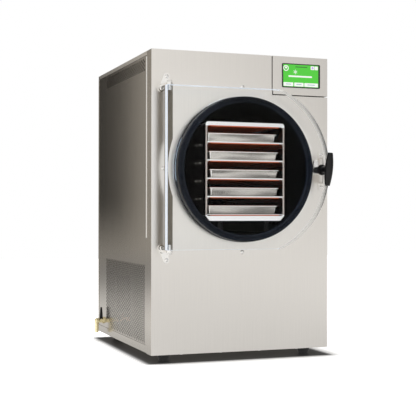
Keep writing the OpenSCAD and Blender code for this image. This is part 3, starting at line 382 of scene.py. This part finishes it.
def softened(node, finish, width=edge_round, segments=2):
    """A copy of a CAD node with rounded edges, which rides where the node does."""
    source = nodes[node]
    mesh = source.data.copy()
    mesh.materials.clear()
    work = bmesh.new()
    work.from_mesh(mesh)
    bmesh.ops.remove_doubles(work, verts=work.verts, dist=weld)
    bmesh.ops.dissolve_limit(work, angle_limit=math.radians(1), verts=work.verts,
                             edges=work.edges)
    work.to_mesh(mesh)
    work.free()
    piece = new_object(node + "_finished", mesh)
    mesh.materials.append(finish)
    bevel = piece.modifiers.new("round_edges", "BEVEL")
    bevel.width = width
    bevel.segments = segments
    bevel.limit_method = "ANGLE"
    bevel.angle_limit = round_over
    bevel.use_clamp_overlap = True
    settle(piece)
    join_frame(piece, node)
    return piece


def applied(piece):
    """The mesh of a piece with its modifiers applied and taken off."""
    plain = bpy.data.meshes.new_from_object(
        piece.evaluated_get(bpy.context.evaluated_depsgraph_get()))
    piece.modifiers.clear()
    piece.data = plain
    return plain


def settle(piece):
    """Applies a piece's modifiers, and shades it smooth across shallow edges and even over
    large faces."""
    plain = applied(piece)
    plain.shade_smooth()
    plain.set_sharp_from_angle(angle=smooth_under)
    even = piece.modifiers.new("even_shading", "WEIGHTED_NORMAL")
    even.keep_sharp = True
    applied(piece)


def join_frame(piece, node):
    """Puts a finished piece on its node's body, where it stands, and hides the node."""
    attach(piece, nodes[node]["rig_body"])
    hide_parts(node)


def bar(name, low, high, finish, width):
    """A block between two corners, with rounded edges."""
    work = bmesh.new()
    bmesh.ops.create_cube(work, size=1)
    size, middle = high - low, (low + high) / 2
    for vert in work.verts:
        vert.co = Vector([middle[i] + vert.co[i] * size[i] for i in range(3)])
    mesh = bpy.data.meshes.new(name)
    work.to_mesh(mesh)
    work.free()
    mesh.materials.append(finish)
    piece = new_object(name, mesh)
    bevel = piece.modifiers.new("round_edges", "BEVEL")
    bevel.width = width
    bevel.segments = 3
    settle(piece)
    return piece


front_steel = brushed("front_steel", front_colour, 0.30)
side_steel = brushed("side_steel", shaded_side_colour, 0.20)
top_steel = brushed("top_steel", front_colour, 0.30, (1, 0, 1))
fold_highlight_steel = brushed("fold_highlight_steel", (1.0, 0.985, 0.97), 0.22)

for node, finish in (("control_panel", front_steel), ("top_cover", top_steel),
                     ("base_pan", side_steel)):
    softened(node, finish)
panel = softened("front_panel", front_steel, fold_round, 3).data
panel.materials.append(side_steel)
panel.materials.append(fold_highlight_steel)
low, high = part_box("front_panel")
# Side-facing faces of the front panel get the darker copy as painted shade, and its fold bevels
# the brighter copy as painted highlight.
for face in panel.polygons:
    inward = min(face.center.x - low.x, high.x - face.center.x)
    turn = abs(face.normal.x)
    if inward < face_reach and turn > 0.99:
        face.material_index = 1
    elif inward < fold_round and 0.05 < turn < 0.99:
        face.material_index = 2
for node in ("left_side_panel", "right_side_panel", "rear_panel"):
    dress(node, side_steel)

side_low, side_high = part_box("left_side_panel")
foot = side_low.z + lip_foot * (side_high.z - side_low.z)
# The lip takes the brighter copy of the steel, a painted highlight line.
lip = bar("left_side_lip", Vector((side_low.x - lip_proud, high.y, foot)),
          Vector((side_low.x + edge_round, high.y + lip_deep, side_high.z - lip_deep)),
          fold_highlight_steel, edge_round)
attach(lip, nodes["left_side_panel"]["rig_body"])

# ---- Feet ----
# Four tapered feet, moulded in black rubber and bolted under the base pan near its corners.
# They hold the cabinet clear of the floor.

foot_rubber = mottled("foot_rubber", (0.018, 0.018, 0.019), 0.62, 420, 0.3, 0.08, bump=0.2,
                      depth=0.0001)
softened("feet", foot_rubber)

# ---- Screws ----
# Stainless pan-head screws with a cross recess. One head is modelled, and set on every screw
# of a group by Geometry Nodes, facing the way that screw faces.

screw_steps = 20
recess_wide = 0.13
recess_long = 0.416
recess_deep = 0.45
recess_taper = 0.7
head_high = 0.62
toe_level = 0.05

bright_steel = mottled("bright_steel", (0.90, 0.89, 0.87), 0.18, 260, 0.05, 0.05,
                       metallic=1.0)


def islands(node):
    """The boxes of a node's separate solids, as pairs of corners."""
    work = bmesh.new()
    work.from_mesh(nodes[node].data)
    bmesh.ops.remove_doubles(work, verts=work.verts, dist=weld)
    left = set(work.verts)
    boxes = []
    while left:
        group = []
        stack = [left.pop()]
        while stack:
            vert = stack.pop()
            group.append(vert.co.copy())
            for edge in vert.link_edges:
                other = edge.other_vert(vert)
                if other in left:
                    left.discard(other)
                    stack.append(other)
        low = Vector([min(p[i] for p in group) for i in range(3)])
        high = Vector([max(p[i] for p in group) for i in range(3)])
        boxes.append((low, high))
    work.free()
    return sorted(boxes, key=lambda b: tuple(b[0]))


def head_mesh(name):
    """A domed head on the XY plane, of radius one, with a cross recess."""
    work = bmesh.new()
    profile = [(1.0, 0.0), (1.0, 0.42), (0.93, 0.68), (0.74, 0.9), (0.5, 1.0)]
    rings = []
    for across, up in profile:
        rings.append([work.verts.new((across * math.cos(a), across * math.sin(a),
                                      head_high * up))
                      for a in (2 * math.pi * n / screw_steps for n in range(screw_steps))])
    for lower, upper in zip(rings, rings[1:]):
        for n in range(screw_steps):
            m = (n + 1) % screw_steps
            work.faces.new((lower[n], lower[m], upper[m], upper[n]))
    wide, long = recess_wide, recess_long
    cross = [(wide, wide), (wide, long), (-wide, long), (-wide, wide), (-long, wide),
             (-long, -wide), (-wide, -wide), (-wide, -long), (wide, -long), (wide, -wide),
             (long, -wide), (long, wide)]
    top = [work.verts.new((x, y, head_high)) for x, y in cross]
    deep = [work.verts.new((x * recess_taper, y * recess_taper,
                            head_high * (1 - recess_deep))) for x, y in cross]
    for n in range(len(cross)):
        m = (n + 1) % len(cross)
        work.faces.new((top[m], top[n], deep[n], deep[m]))
    work.faces.new(deep)
    edges = [work.edges.get((rings[-1][n], rings[-1][(n + 1) % screw_steps]))
             for n in range(screw_steps)]
    edges += [work.edges.get((top[n], top[(n + 1) % len(top)])) for n in range(len(top))]
    bmesh.ops.triangle_fill(work, use_beauty=True, edges=edges, normal=(0, 0, 1))
    work.faces.new(list(reversed(rings[0])))
    bmesh.ops.recalc_face_normals(work, faces=work.faces)
    mesh = bpy.data.meshes.new(name)
    work.to_mesh(mesh)
    work.free()
    return mesh


def instanced(name, head, points, normals, sizes, finish):
    """Sets a copy of head on each point, at that point's size and with its Z along that
    point's normal, as one mesh."""
    spots = bpy.data.meshes.new(name + "_spots")
    spots.from_pydata([tuple(p) for p in points], [], [])
    facing = spots.attributes.new("facing", "FLOAT_VECTOR", "POINT")
    facing.data.foreach_set("vector", [c for n in normals for c in n])
    spots.attributes.new("size", "FLOAT", "POINT").data.foreach_set("value", sizes)
    piece = new_object(name, spots)
    source = new_object(name + "_one", head)
    group = bpy.data.node_groups.new(name + "_pattern", "GeometryNodeTree")
    group.interface.new_socket("Geometry", in_out="INPUT", socket_type="NodeSocketGeometry")
    one = group.interface.new_socket("One", in_out="INPUT", socket_type="NodeSocketObject")
    coat = group.interface.new_socket("Finish", in_out="INPUT",
                                      socket_type="NodeSocketMaterial")
    group.interface.new_socket("Geometry", in_out="OUTPUT", socket_type="NodeSocketGeometry")
    made = {kind: group.nodes.new(kind) for kind in (
        "NodeGroupInput", "NodeGroupOutput", "GeometryNodeObjectInfo",
        "FunctionNodeAlignRotationToVector", "GeometryNodeInstanceOnPoints",
        "GeometryNodeRealizeInstances", "GeometryNodeSetMaterial")}
    start, end = made["NodeGroupInput"], made["NodeGroupOutput"]
    info = made["GeometryNodeObjectInfo"]
    values = {}
    for label, kind in (("facing", "FLOAT_VECTOR"), ("size", "FLOAT")):
        attribute = group.nodes.new("GeometryNodeInputNamedAttribute")
        attribute.data_type = kind
        attribute.inputs["Name"].default_value = label
        values[label] = [s for s in attribute.outputs if s.enabled][0]
    align = made["FunctionNodeAlignRotationToVector"]
    align.axis = "Z"
    place = made["GeometryNodeInstanceOnPoints"]
    real = made["GeometryNodeRealizeInstances"]
    paint = made["GeometryNodeSetMaterial"]
    link(group, start.outputs["One"], info.inputs["Object"])
    link(group, values["facing"], align.inputs["Vector"])
    link(group, start.outputs["Geometry"], place.inputs["Points"])
    link(group, info.outputs["Geometry"], place.inputs["Instance"])
    link(group, align.outputs["Rotation"], place.inputs["Rotation"])
    link(group, values["size"], place.inputs["Scale"])
    link(group, place.outputs["Instances"], real.inputs["Geometry"])
    link(group, real.outputs["Geometry"], paint.inputs["Geometry"])
    link(group, start.outputs["Finish"], paint.inputs["Material"])
    link(group, paint.outputs["Geometry"], end.inputs["Geometry"])
    modifier = piece.modifiers.new("pattern", "NODES")
    modifier.node_group = group
    modifier[one.identifier] = source
    modifier[coat.identifier] = finish
    settle(piece)
    bpy.data.objects.remove(source)
    bpy.data.meshes.remove(spots)
    return piece


def screw_way(node, low, high):
    """The way a screw faces: down under the toe, back on the rear panel, outward on the rack
    and forward elsewhere."""
    if node == "panel_screws":
        return (0, 0, -1) if high.z < toe_level else (0, 1, 0)
    if node == "rack_screws":
        left, right = (corner.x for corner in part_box("rack_frame"))
        return (-1, 0, 0) if low.x < (left + right) / 2 else (1, 0, 0)
    return (0, -1, 0)


for node in ("panel_screws", "face_screws", "rack_screws"):
    points, normals, sizes = [], [], []
    for low, high in islands(node):
        normal = Vector(screw_way(node, low, high))
        axis = max(range(3), key=lambda i: abs(normal[i]))
        other = [i for i in range(3) if i != axis]
        radius = (high[other[0]] - low[other[0]]) / 2
        spot = (low + high) / 2
        spot[axis] = (high[axis] - radius * head_high if normal[axis] > 0
                      else low[axis] + radius * head_high)
        points.append(spot)
        normals.append(normal)
        sizes.append(radius)
    head = head_mesh(node + "_head")
    head.materials.append(bright_steel)
    join_frame(instanced(node + "_heads", head, points, normals, sizes, bright_steel), node)

# ---- Vacuum chamber ----
# A rolled steel drum with a flange behind the front panel, near black inside. The foam
# jacket and the evaporator's copper coil lie round it inside the cabinet.

chamber_black = mottled("chamber_black", (0.003, 0.0032, 0.0036), 0.22, 60, 0.35, 0.04,
                        Specular_IOR_Level=0.14)
for node in ("chamber", "chamber_end_plate", "chamber_flange"):
    softened(node, chamber_black, 0.0005, 1)

foam = mottled("foam", (0.035, 0.035, 0.04), 0.9, 700, 0.35, 0.05, bump=0.6, depth=0.0006)
softened("insulation", foam, 0.001, 1)

copper = mottled("copper", (0.80, 0.42, 0.26), 0.28, 90, 0.16, 0.08, metallic=1.0)
for node in ("evaporator_coil", "refrigerant_lines", "drain_pipe"):
    softened(node, copper, 0.0002, 1)

# ---- Gasket ----
# A moulded black rubber ring pushed over the chamber's rim. Its outer side steps in towards
# the door, and its face has a groove between two round lips that the door presses on. Two
# strip lights shine on the ring alone, so that its edges show.

ring_steps = 192
gasket_wide = 0.017
gasket_round = 0.0034
round_steps = 4
collar_deep = 0.0075
step_end = 0.009
step_wide = 0.0016
groove_outside = 0.0088
groove_inside = 0.0106
groove_slope = 0.0002
groove_deep = 0.0045
lips_deep = 0.0094
rim_inset = 0.0097
strip_glow = 160
strip_tint = (0.8, 0.9, 1.0)

gasket_rubber = mottled("gasket_rubber", (0.0005, 0.0006, 0.0009), 0.06, 60, 0.25, 0.02,
                        Specular_IOR_Level=0.12, Specular_Tint=(0.78, 0.88, 1.0, 1))


def rounded(profile, radius):
    """A closed 2D profile with each corner replaced by a short curve."""
    points = []
    count = len(profile)
    for n in range(count):
        before, here, after = (Vector(profile[(n + k) % count]) for k in (-1, 0, 1))
        back, ahead = before - here, after - here
        cut = min(radius, back.length * 0.45, ahead.length * 0.45)
        start, finish = here + back.normalized() * cut, here + ahead.normalized() * cut
        for k in range(round_steps + 1):
            t = k / round_steps
            points.append(start.lerp(here, t).lerp(here.lerp(finish, t), t))
    return points


def revolved(name, profile, centre, finish):
    """A closed (radius, y) profile turned round the Y axis through centre."""
    work = bmesh.new()
    rings = []
    for n in range(ring_steps):
        a = 2 * math.pi * n / ring_steps
        rings.append([work.verts.new((centre.x + r * math.sin(a), y,
                                      centre.z + r * math.cos(a))) for r, y in profile])
    for n in range(ring_steps):
        here, there = rings[n], rings[(n + 1) % ring_steps]
        for k in range(len(profile)):
            m = (k + 1) % len(profile)
            work.faces.new((here[k], here[m], there[m], there[k]))
    bmesh.ops.recalc_face_normals(work, faces=work.faces)
    mesh = bpy.data.meshes.new(name)
    work.to_mesh(mesh)
    work.free()
    mesh.materials.append(finish)
    mesh.shade_smooth()
    mesh.set_sharp_from_angle(angle=math.radians(60))
    return new_object(name, mesh)


low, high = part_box("gasket")
ring_centre = (low + high) / 2
outer = (high.x - low.x) / 2
inner = outer - gasket_wide
front, back = low.y, high.y
rim = outer - rim_inset
groove = [(outer - groove_outside, front),
          (outer - groove_outside - groove_slope, front + groove_deep),
          (outer - groove_inside + groove_slope, front + groove_deep),
          (outer - groove_inside, front)]
profile = [(outer, back), (outer, back - collar_deep), (outer - step_wide, back - step_end),
           (outer - step_wide, front), *groove, (inner, front),
           (inner, front + lips_deep), (rim, front + lips_deep), (rim, back)]
gasket = revolved("gasket_finished", rounded(profile, gasket_round), ring_centre,
                  gasket_rubber)
join_frame(gasket, "gasket")

strip_lit = bpy.data.collections.new("lit_by_strips")
strip_lit.objects.link(gasket)
for name, place, wide, tall in (("left_strip", (-2.2, -1.2, 0.7), 1.0, 2.6),
                                ("top_strip", (0.0, -1.4, 2.4), 2.6, 0.9)):
    strip_data = bpy.data.lights.new(name, "AREA")
    strip_data.shape = "RECTANGLE"
    strip_data.size, strip_data.size_y = wide, tall
    strip_data.energy = strip_glow * math.pi * wide * tall
    strip_data.color = strip_tint
    strip = bpy.data.objects.new(name, strip_data)
    bpy.context.scene.collection.objects.link(strip)
    strip.location = place
    strip.rotation_euler = (ring_centre - Vector(place)).to_track_quat("-Z", "Y").to_euler()
    strip.visible_camera = False
    strip.light_linking.receiver_collection = strip_lit

# ---- Rack ----
# A folded stainless frame with one heated shelf for each tray, and plastic runners under it.
# The bars across its top and foot take a bright copy of the steel as painted highlight, and the
# sides between them a darker, browner copy as painted shade and painted reflection.

rack_cap = 0.010
rack_base = 0.014

rack_steel = brushed("rack_steel", (0.98, 0.98, 1.0), 0.26, (1, 0, 1))
shelf_steel = brushed("shelf_steel", (0.97, 0.97, 0.97), 0.20, (0, 1, 1))
rack = softened("rack_frame", rack_steel, 0.0006)
shaded_upright_steel = brushed("shaded_upright_steel", (0.50, 0.45, 0.42), 0.24, (1, 1, 0))
rack.data.materials.append(shaded_upright_steel)
low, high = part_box("rack_frame")
cap_under, base_top = high.z - rack_cap, low.z + rack_base
work = bmesh.new()
work.from_mesh(rack.data)
for level in (cap_under, base_top):
    bmesh.ops.bisect_plane(work, geom=work.verts[:] + work.edges[:] + work.faces[:],
                           plane_co=(0, 0, level), plane_no=(0, 0, 1))
# Faces between the top bar and the foot bar take the darker copy, as painted shade.
for face in work.faces:
    if base_top < face.calc_center_median().z < cap_under:
        face.material_index = 1
work.to_mesh(rack.data)
work.free()
for n in range(1, 6):
    softened("shelf_%d" % n, shelf_steel, 0.0004)

runner_plastic = mottled("runner_plastic", (0.004, 0.004, 0.0045), 0.45, 300, 0.2, 0.06,
                         Specular_IOR_Level=0.15)
softened("rack_runners", runner_plastic)

# ---- Heater mats ----
# Orange silicone mats bonded under the shelves and the rack's top, with a fine woven face. The
# front edge of each ends in a round bead.

mat_silicone = mottled("mat_silicone", (0.86, 0.17, 0.05), 0.5, 900, 0.12, 0.06, bump=0.35,
                       depth=0.0002)
bead_high = 0.0021
bead_deep = 0.002

for n in range(1, 7):
    node = "heater_mat_%d" % n
    softened(node, mat_silicone, 0.0004)
    low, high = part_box(node)
    bead = bar(node + "_bead", Vector((low.x, low.y, low.z - bead_high)),
               Vector((high.x, low.y + bead_deep, low.z)), mat_silicone, 0.0006)
    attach(bead, nodes[node]["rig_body"])

# ---- Trays ----
# Drawn stainless trays with round corners and sloping sides. The rim is rolled outward and
# under, and the floor meets the walls in a drawn radius. The rim and the ends take a brighter
# copy of the steel, as painted highlight.

tray_rim_wide = 0.0045
tray_rim_high = 0.0034
tray_sheet = 0.0009
tray_lean = 0.007
tray_corner = 0.012
tray_bottom_round = 0.004
corner_steps = 10
bend_steps = 6
bend_ease = 0.55
bend_inside = 0.9
roll_steps = 12
roll_tuck = 0.0002
rim_inside = 0.0006
rim_drop = 0.0010

tray_steel = mottled("tray_steel", (0.56, 0.533, 0.50), 0.17, 1, 0.42, 0.03, metallic=1.0,
                     size=(9, 9, 75), detail=0.5)
rim_highlight_steel = brushed("rim_highlight_steel", (1.0, 0.975, 0.95), 0.20, (0, 0, 1))


def round_outline(low, high, inset, corner, z):
    """A rectangle with round corners, counter-clockwise from above, moved in by inset."""
    r = max(corner - inset, 0.0005)
    x0, x1 = low.x + inset, high.x - inset
    y0, y1 = low.y + inset, high.y - inset
    points = []
    for cx, cy, turn in ((x1 - r, y1 - r, 0), (x0 + r, y1 - r, 90),
                         (x0 + r, y0 + r, 180), (x1 - r, y0 + r, 270)):
        for n in range(corner_steps + 1):
            a = math.radians(turn + 90 * n / corner_steps)
            points.append((cx + r * math.cos(a), cy + r * math.sin(a), z))
    return points


def lofted(name, rings, finish):
    """A skin over rings of equally many points, with the first and last ring filled."""
    work = bmesh.new()
    made = [[work.verts.new(p) for p in ring] for ring in rings]
    count = len(made[0])
    for lower, upper in zip(made, made[1:]):
        for n in range(count):
            m = (n + 1) % count
            work.faces.new((lower[n], lower[m], upper[m], upper[n]))
    work.faces.new(list(reversed(made[0])))
    work.faces.new(made[-1])
    bmesh.ops.recalc_face_normals(work, faces=work.faces)
    mesh = bpy.data.meshes.new(name)
    work.to_mesh(mesh)
    work.free()
    mesh.materials.append(finish)
    piece = new_object(name, mesh)
    mesh.shade_smooth()
    mesh.set_sharp_from_angle(angle=math.radians(50))
    return piece


def tray_profile(tall):
    """Inset and height of each ring, from the floor's underside, up the outside, round the
    rolled rim and down the inside to the floor."""
    foot = tray_rim_wide + tray_lean
    slope = tray_lean / tall
    bends = [math.radians(90 * n / (bend_steps - 1)) for n in range(bend_steps)]
    under = tall - tray_rim_high
    half = tray_rim_high / 2
    r = tray_bottom_round
    rings = [(foot + r * bend_ease - r * math.sin(a), r - r * math.cos(a)) for a in bends]
    wall = rings[-1][0] + tray_sheet
    rings.append((foot - slope * under, under - roll_tuck))
    for n in range(1, roll_steps):
        a = math.radians(-100 + 200 * n / (roll_steps - 1))
        rings.append((half - half * math.cos(a), tall - half + half * math.sin(a)))
    rings.append((tray_rim_wide - rim_inside, tall - roll_tuck))
    rings.append((tray_rim_wide + roll_tuck, tall - rim_drop))
    r *= bend_inside
    rings += [(wall + r - r * math.sin(a), tray_sheet + r - r * math.cos(a))
              for a in reversed(bends)]
    return rings


for n in range(1, 6):
    low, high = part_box("tray_%d" % n)
    rings = [round_outline(low, high, inset, tray_corner, low.z + up)
             for inset, up in tray_profile(high.z - low.z)]
    tray = lofted("tray_%d_finished" % n, rings, tray_steel)
    tray.data.materials.append(rim_highlight_steel)
    # Faces on the rim and at the ends take the brighter copy, a painted highlight.
    for face in tray.data.polygons:
        ends = min(face.center.x - low.x, high.x - face.center.x)
        if face.center.z > high.z - tray_rim_high or ends < tray_corner:
            face.material_index = 1
    join_frame(tray, "tray_%d" % n)

# ---- Door ----
# A disc of clear acrylic with two flats and a straight hinge side, cut and flame-polished.
# Its straight edges and the bevels round the arc are frosted and have a painted glow, a pale blue
# colour that shines by itself in place of the light that a clear plate's edges gather.

frost_and_glow_reach = 0.0015
bevel_turn = 0.2
face_turn = 0.95
clear_tint = (0.95, 0.96, 0.97, 1)

acrylic = material("acrylic", (0.985, 0.995, 1.0), 0.0, Transmission_Weight=1.0, IOR=1.12)
tree = acrylic.node_tree
shader = tree.nodes["Principled BSDF"]
output = [n for n in tree.nodes if n.type == "OUTPUT_MATERIAL"][0]
clear = tree.nodes.new("ShaderNodeBsdfTransparent")
clear.inputs["Color"].default_value = clear_tint
ray = tree.nodes.new("ShaderNodeLightPath").outputs
unseen = math_node(tree, "MAXIMUM", ray["Is Shadow Ray"], ray["Is Diffuse Ray"])
blend = tree.nodes.new("ShaderNodeMixShader")
link(tree, unseen, blend.inputs[0])
link(tree, shader.outputs[0], blend.inputs[1])
link(tree, clear.outputs[0], blend.inputs[2])
link(tree, blend.outputs[0], output.inputs["Surface"])
frost = noise(tree, 1100)
link(tree, ranged(tree, frost, 0.35, 0.65, 0.0, 0.012, "LINEAR"), shader.inputs["Roughness"])
door = softened("door", acrylic, 0.0012)

# The frosted edge finish glows by itself: painted light.
edge_frost_painted_glow = mottled("edge_frost_painted_glow", (0.66, 0.72, 0.82), 0.3, 900, 0.06, 0.1,
                     Emission_Strength=0.32, Emission_Color=(0.90, 0.95, 1.0, 1))
door.data.materials.append(edge_frost_painted_glow)
low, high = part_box("door")
axle = Vector(((low.x + high.x) / 2, 0, (low.z + high.z) / 2))
door_radius = (high.x - low.x) / 2
for face in door.data.polygons:
    at = face.center - axle
    at.y = 0
    straight = min(face.center.x - low.x, face.center.z - low.z, high.z - face.center.z)
    arc = door_radius - at.length if at.x > 0 else 1
    turn = abs(face.normal.y)
    if ((turn < face_turn and straight < frost_and_glow_reach)
            or (bevel_turn < turn < face_turn and arc < frost_and_glow_reach)):
        face.material_index = 1

# ---- Hinge ----
# A strip lies along the door's hinge side, in its rebate, coloured dark brown as painted shade
# for the dark band along the door's edge. The door turns on two steel pins, held by machined
# stainless brackets that are screwed to the front panel.

# The strip's dark brown colour is painted shade.
strip_coating = mottled("strip_coating", (0.25, 0.215, 0.165), 0.45, 1, 0.06, 0.05,
                        size=(900, 900, 9), detail=1.0)
softened("hinge_strip", strip_coating, 0.0005)
for node in ("hinge_bracket_top", "hinge_bracket_bottom"):
    softened(node, bright_steel, 0.0008)
pin_steel = mottled("pin_steel", (0.80, 0.79, 0.77), 0.2, 500, 0.08, 0.05, metallic=1.0)
softened("hinge_pins", pin_steel, 0.0004)

# ---- Handle and latch ----
# A black moulded lever on a steel shaft through the door, with a pawl that turns behind a
# bridge on the cabinet.

handle_plastic = mottled("handle_plastic", (0.007, 0.0075, 0.008), 0.34, 800, 0.2, 0.06,
                         bump=0.1, depth=0.00006, Specular_IOR_Level=0.3)
softened("handle_lever", handle_plastic, 0.0012, 3)
black_steel = mottled("black_steel", (0.035, 0.036, 0.038), 0.2, 500, 0.2, 0.05,
                      metallic=1.0)
for node in ("handle_collar", "handle_shaft", "latch_nut"):
    softened(node, black_steel, 0.0005)
softened("latch_pawl", bright_steel, 0.0005)
softened("latch_strike", front_steel, 0.0007)

# ---- Control panel ----
# A touchscreen with a black glass bezel, let into the panel above the door. The lit display
# has plain signs only: a round button, a title bar, tiles, a snowflake, a bar and buttons.

screen_glass = mottled("screen_glass", (0.006, 0.006, 0.007), 0.08, 60, 0.2, 0.02,
                       Coat_Weight=0.5, Coat_Roughness=0.03)
softened("touchscreen", screen_glass, 0.0009, 3)
screen_low, screen_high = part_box("touchscreen")
screen_shape = (screen_high.x - screen_low.x) / (screen_high.z - screen_low.z)
sign_step = 0.00006
sign_sunk = 0.0002
screen_glow = 0.92
arm_start = 0.006
arm_end = 0.055
arm_half = 0.006
snow_arms = 6
snow_across = 0.34
snow_up = 0.655


def lit(name, colour):
    """A lit part of the screen, crossed by the display's faint rows."""
    finish = material(name, tuple(c * 0.15 for c in colour), 0.1, Coat_Weight=0.4,
                      Coat_Roughness=0.03)
    tree = finish.node_tree
    shader = tree.nodes["Principled BSDF"]
    rows = noise(tree, 1, (40, 40, 1500), 1.0)
    link(tree, colour_mix(tree, ranged(tree, rows, *mottle_range, 0, 1),
                          tuple(c * 0.93 for c in colour) + (1,), (*colour, 1)),
         shader.inputs["Emission Color"])
    shader.inputs["Emission Strength"].default_value = screen_glow
    return finish


def sign(name, outline, layer, finish):
    """A thin plate on the screen's glass. The outline is in shares of the screen's width and
    height from its lower left corner."""
    wide, tall = screen_high.x - screen_low.x, screen_high.z - screen_low.z
    front = screen_low.y - sign_step * layer
    rings = [[(screen_low.x + u * wide, y, screen_low.z + v * tall) for u, v in outline]
             for y in (screen_low.y + sign_sunk, front)]
    piece = lofted(name, rings, finish)
    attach(piece, nodes["touchscreen"]["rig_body"])
    return piece


def box_sign(name, left, right, bottom, top, layer, finish, corner=0.0):
    if not corner:
        return sign(name, [(left, bottom), (right, bottom), (right, top), (left, top)],
                    layer, finish)
    tall = corner * screen_shape
    points = []
    for cu, cv, turn in ((right - corner, top - tall, 0), (left + corner, top - tall, 90),
                         (left + corner, bottom + tall, 180),
                         (right - corner, bottom + tall, 270)):
        for n in range(5):
            a = math.radians(turn + 22.5 * n)
            points.append((cu + corner * math.cos(a), cv + tall * math.sin(a)))
    return sign(name, points, layer, finish)


def round_sign(name, u, v, radius, layer, finish):
    tall = radius * screen_shape
    turns = [2 * math.pi * n / 32 for n in range(32)]
    return sign(name, [(u + radius * math.cos(a), v + tall * math.sin(a)) for a in turns],
                layer, finish)


screen_green = lit("screen_green", (0.073, 0.60, 0.036))
screen_pale = lit("screen_pale", (0.95, 0.97, 0.93))
screen_dark = lit("screen_dark", (0.03, 0.20, 0.02))
screen_ink = lit("screen_ink", (0.33, 0.50, 0.52))
screen_violet = lit("screen_violet", (0.55, 0.38, 0.85))

box_sign("screen_picture", 0.025, 0.948, 0.045, 0.955, 1, screen_green)
for n, (left, right) in enumerate(((0.032, 0.286), (0.312, 0.558), (0.578, 0.938))):
    box_sign("screen_button_%d" % (n + 1), left, right, 0.06, 0.215, 2, screen_pale, 0.012)
    middle, reach = (left + right) / 2, (right - left) * 0.28
    box_sign("screen_button_mark_%d" % (n + 1), middle - reach, middle + reach, 0.125, 0.158,
             3, screen_ink, 0.008)
round_sign("screen_round_button", 0.096, 0.80, 0.070, 2, screen_pale)
round_sign("screen_round_inner", 0.096, 0.80, 0.050, 3, screen_green)
round_sign("screen_round_dot", 0.096, 0.82, 0.026, 4, screen_pale)
box_sign("screen_title", 0.34, 0.655, 0.845, 0.885, 2, screen_dark, 0.008)
box_sign("screen_tile_left", 0.746, 0.845, 0.775, 0.925, 2, screen_pale, 0.01)
box_sign("screen_tile_right", 0.855, 0.936, 0.775, 0.925, 2, screen_pale, 0.01)
round_sign("screen_tile_dot", 0.795, 0.85, 0.028, 3, screen_violet)
box_sign("screen_bar", 0.16, 0.78, 0.44, 0.505, 2, screen_pale, 0.012)
for n in range(snow_arms):
    a = math.radians(360 / snow_arms * n + 30)
    along = Vector((math.cos(a), math.sin(a)))
    across = Vector((-along.y, along.x))
    corners = [along * u + across * v
               for u, v in ((arm_start, arm_half), (arm_start, -arm_half),
                            (arm_end, -arm_half), (arm_end, arm_half))]
    sign("screen_snow_arm_%d" % (n + 1),
         [(snow_across + c.x, snow_up + c.y * screen_shape) for c in corners], 2, screen_pale)

board_green = mottled("board_green", (0.02, 0.16, 0.06), 0.45, 300, 0.25, 0.06)
softened("circuit_board", board_green, 0.0003, 1)

# ---- Drain ----
# A brass drain valve low on the left side, screwed onto the drain pipe, with a spout that
# opens downward and a black moulded lever.

brass = mottled("brass", (1.0, 0.84, 0.52), 0.32, 300, 0.10, 0.07, metallic=1.0, bump=0.1,
                depth=0.00005)
softened("drain_valve", brass, 0.0004)
softened("drain_lever", handle_plastic, 0.0005)

# ---- Machinery ----
# A black compressor, a finned condenser and a fan with its motor and shroud, fixed inside the
# cabinet and cooled through the perforated sides. The fan and the shroud are moulded.

compressor_paint = mottled("compressor_paint", (0.02, 0.021, 0.023), 0.3, 300, 0.2, 0.06,
                           bump=0.15, depth=0.0002)
softened("compressor", compressor_paint, 0.001)
condenser_metal = brushed("condenser_metal", (0.20, 0.20, 0.20), 0.45, (1, 0, 1))
softened("condenser", condenser_metal, 0.0002, 1)
softened("fan_shroud", handle_plastic, 0.0006)
motor_metal = brushed("motor_metal", (0.42, 0.43, 0.45), 0.4, (0, 1, 1))
softened("fan_motor", motor_metal, 0.001)
fan_plastic = mottled("fan_plastic", (0.55, 0.56, 0.58), 0.42, 300, 0.06, 0.05)
softened("fan_blades", fan_plastic, 0.0003, 1)

# ---- Rear fittings ----
# The vacuum port, the mains inlet and its rocker switch, and the black dust screen that lies
# inside the rear panel's slots.

softened("vacuum_port", brass, 0.0006)
softened("power_inlet", handle_plastic, 0.0005)
switch_red = mottled("switch_red", (0.55, 0.018, 0.012), 0.3, 400, 0.1, 0.05)
softened("power_switch", switch_red, 0.0005)

dust_left = 0.054
dust_right = 0.238
dust_bottom = 0.035
dust_top = 0.135
dust_thick = 0.002
dust_gap = 0.0002
dust_screen = mottled("dust_screen", (0.01, 0.01, 0.011), 0.8, 900, 0.3, 0.1, bump=0.3,
                      depth=0.0003)
low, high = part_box("rear_panel")
pad = bar("rear_dust_screen", low + Vector((dust_left, -dust_gap - dust_thick, dust_bottom)),
          low + Vector((dust_right, -dust_gap, dust_top)), dust_screen, 0.0004)
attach(pad, nodes["rear_panel"]["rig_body"])
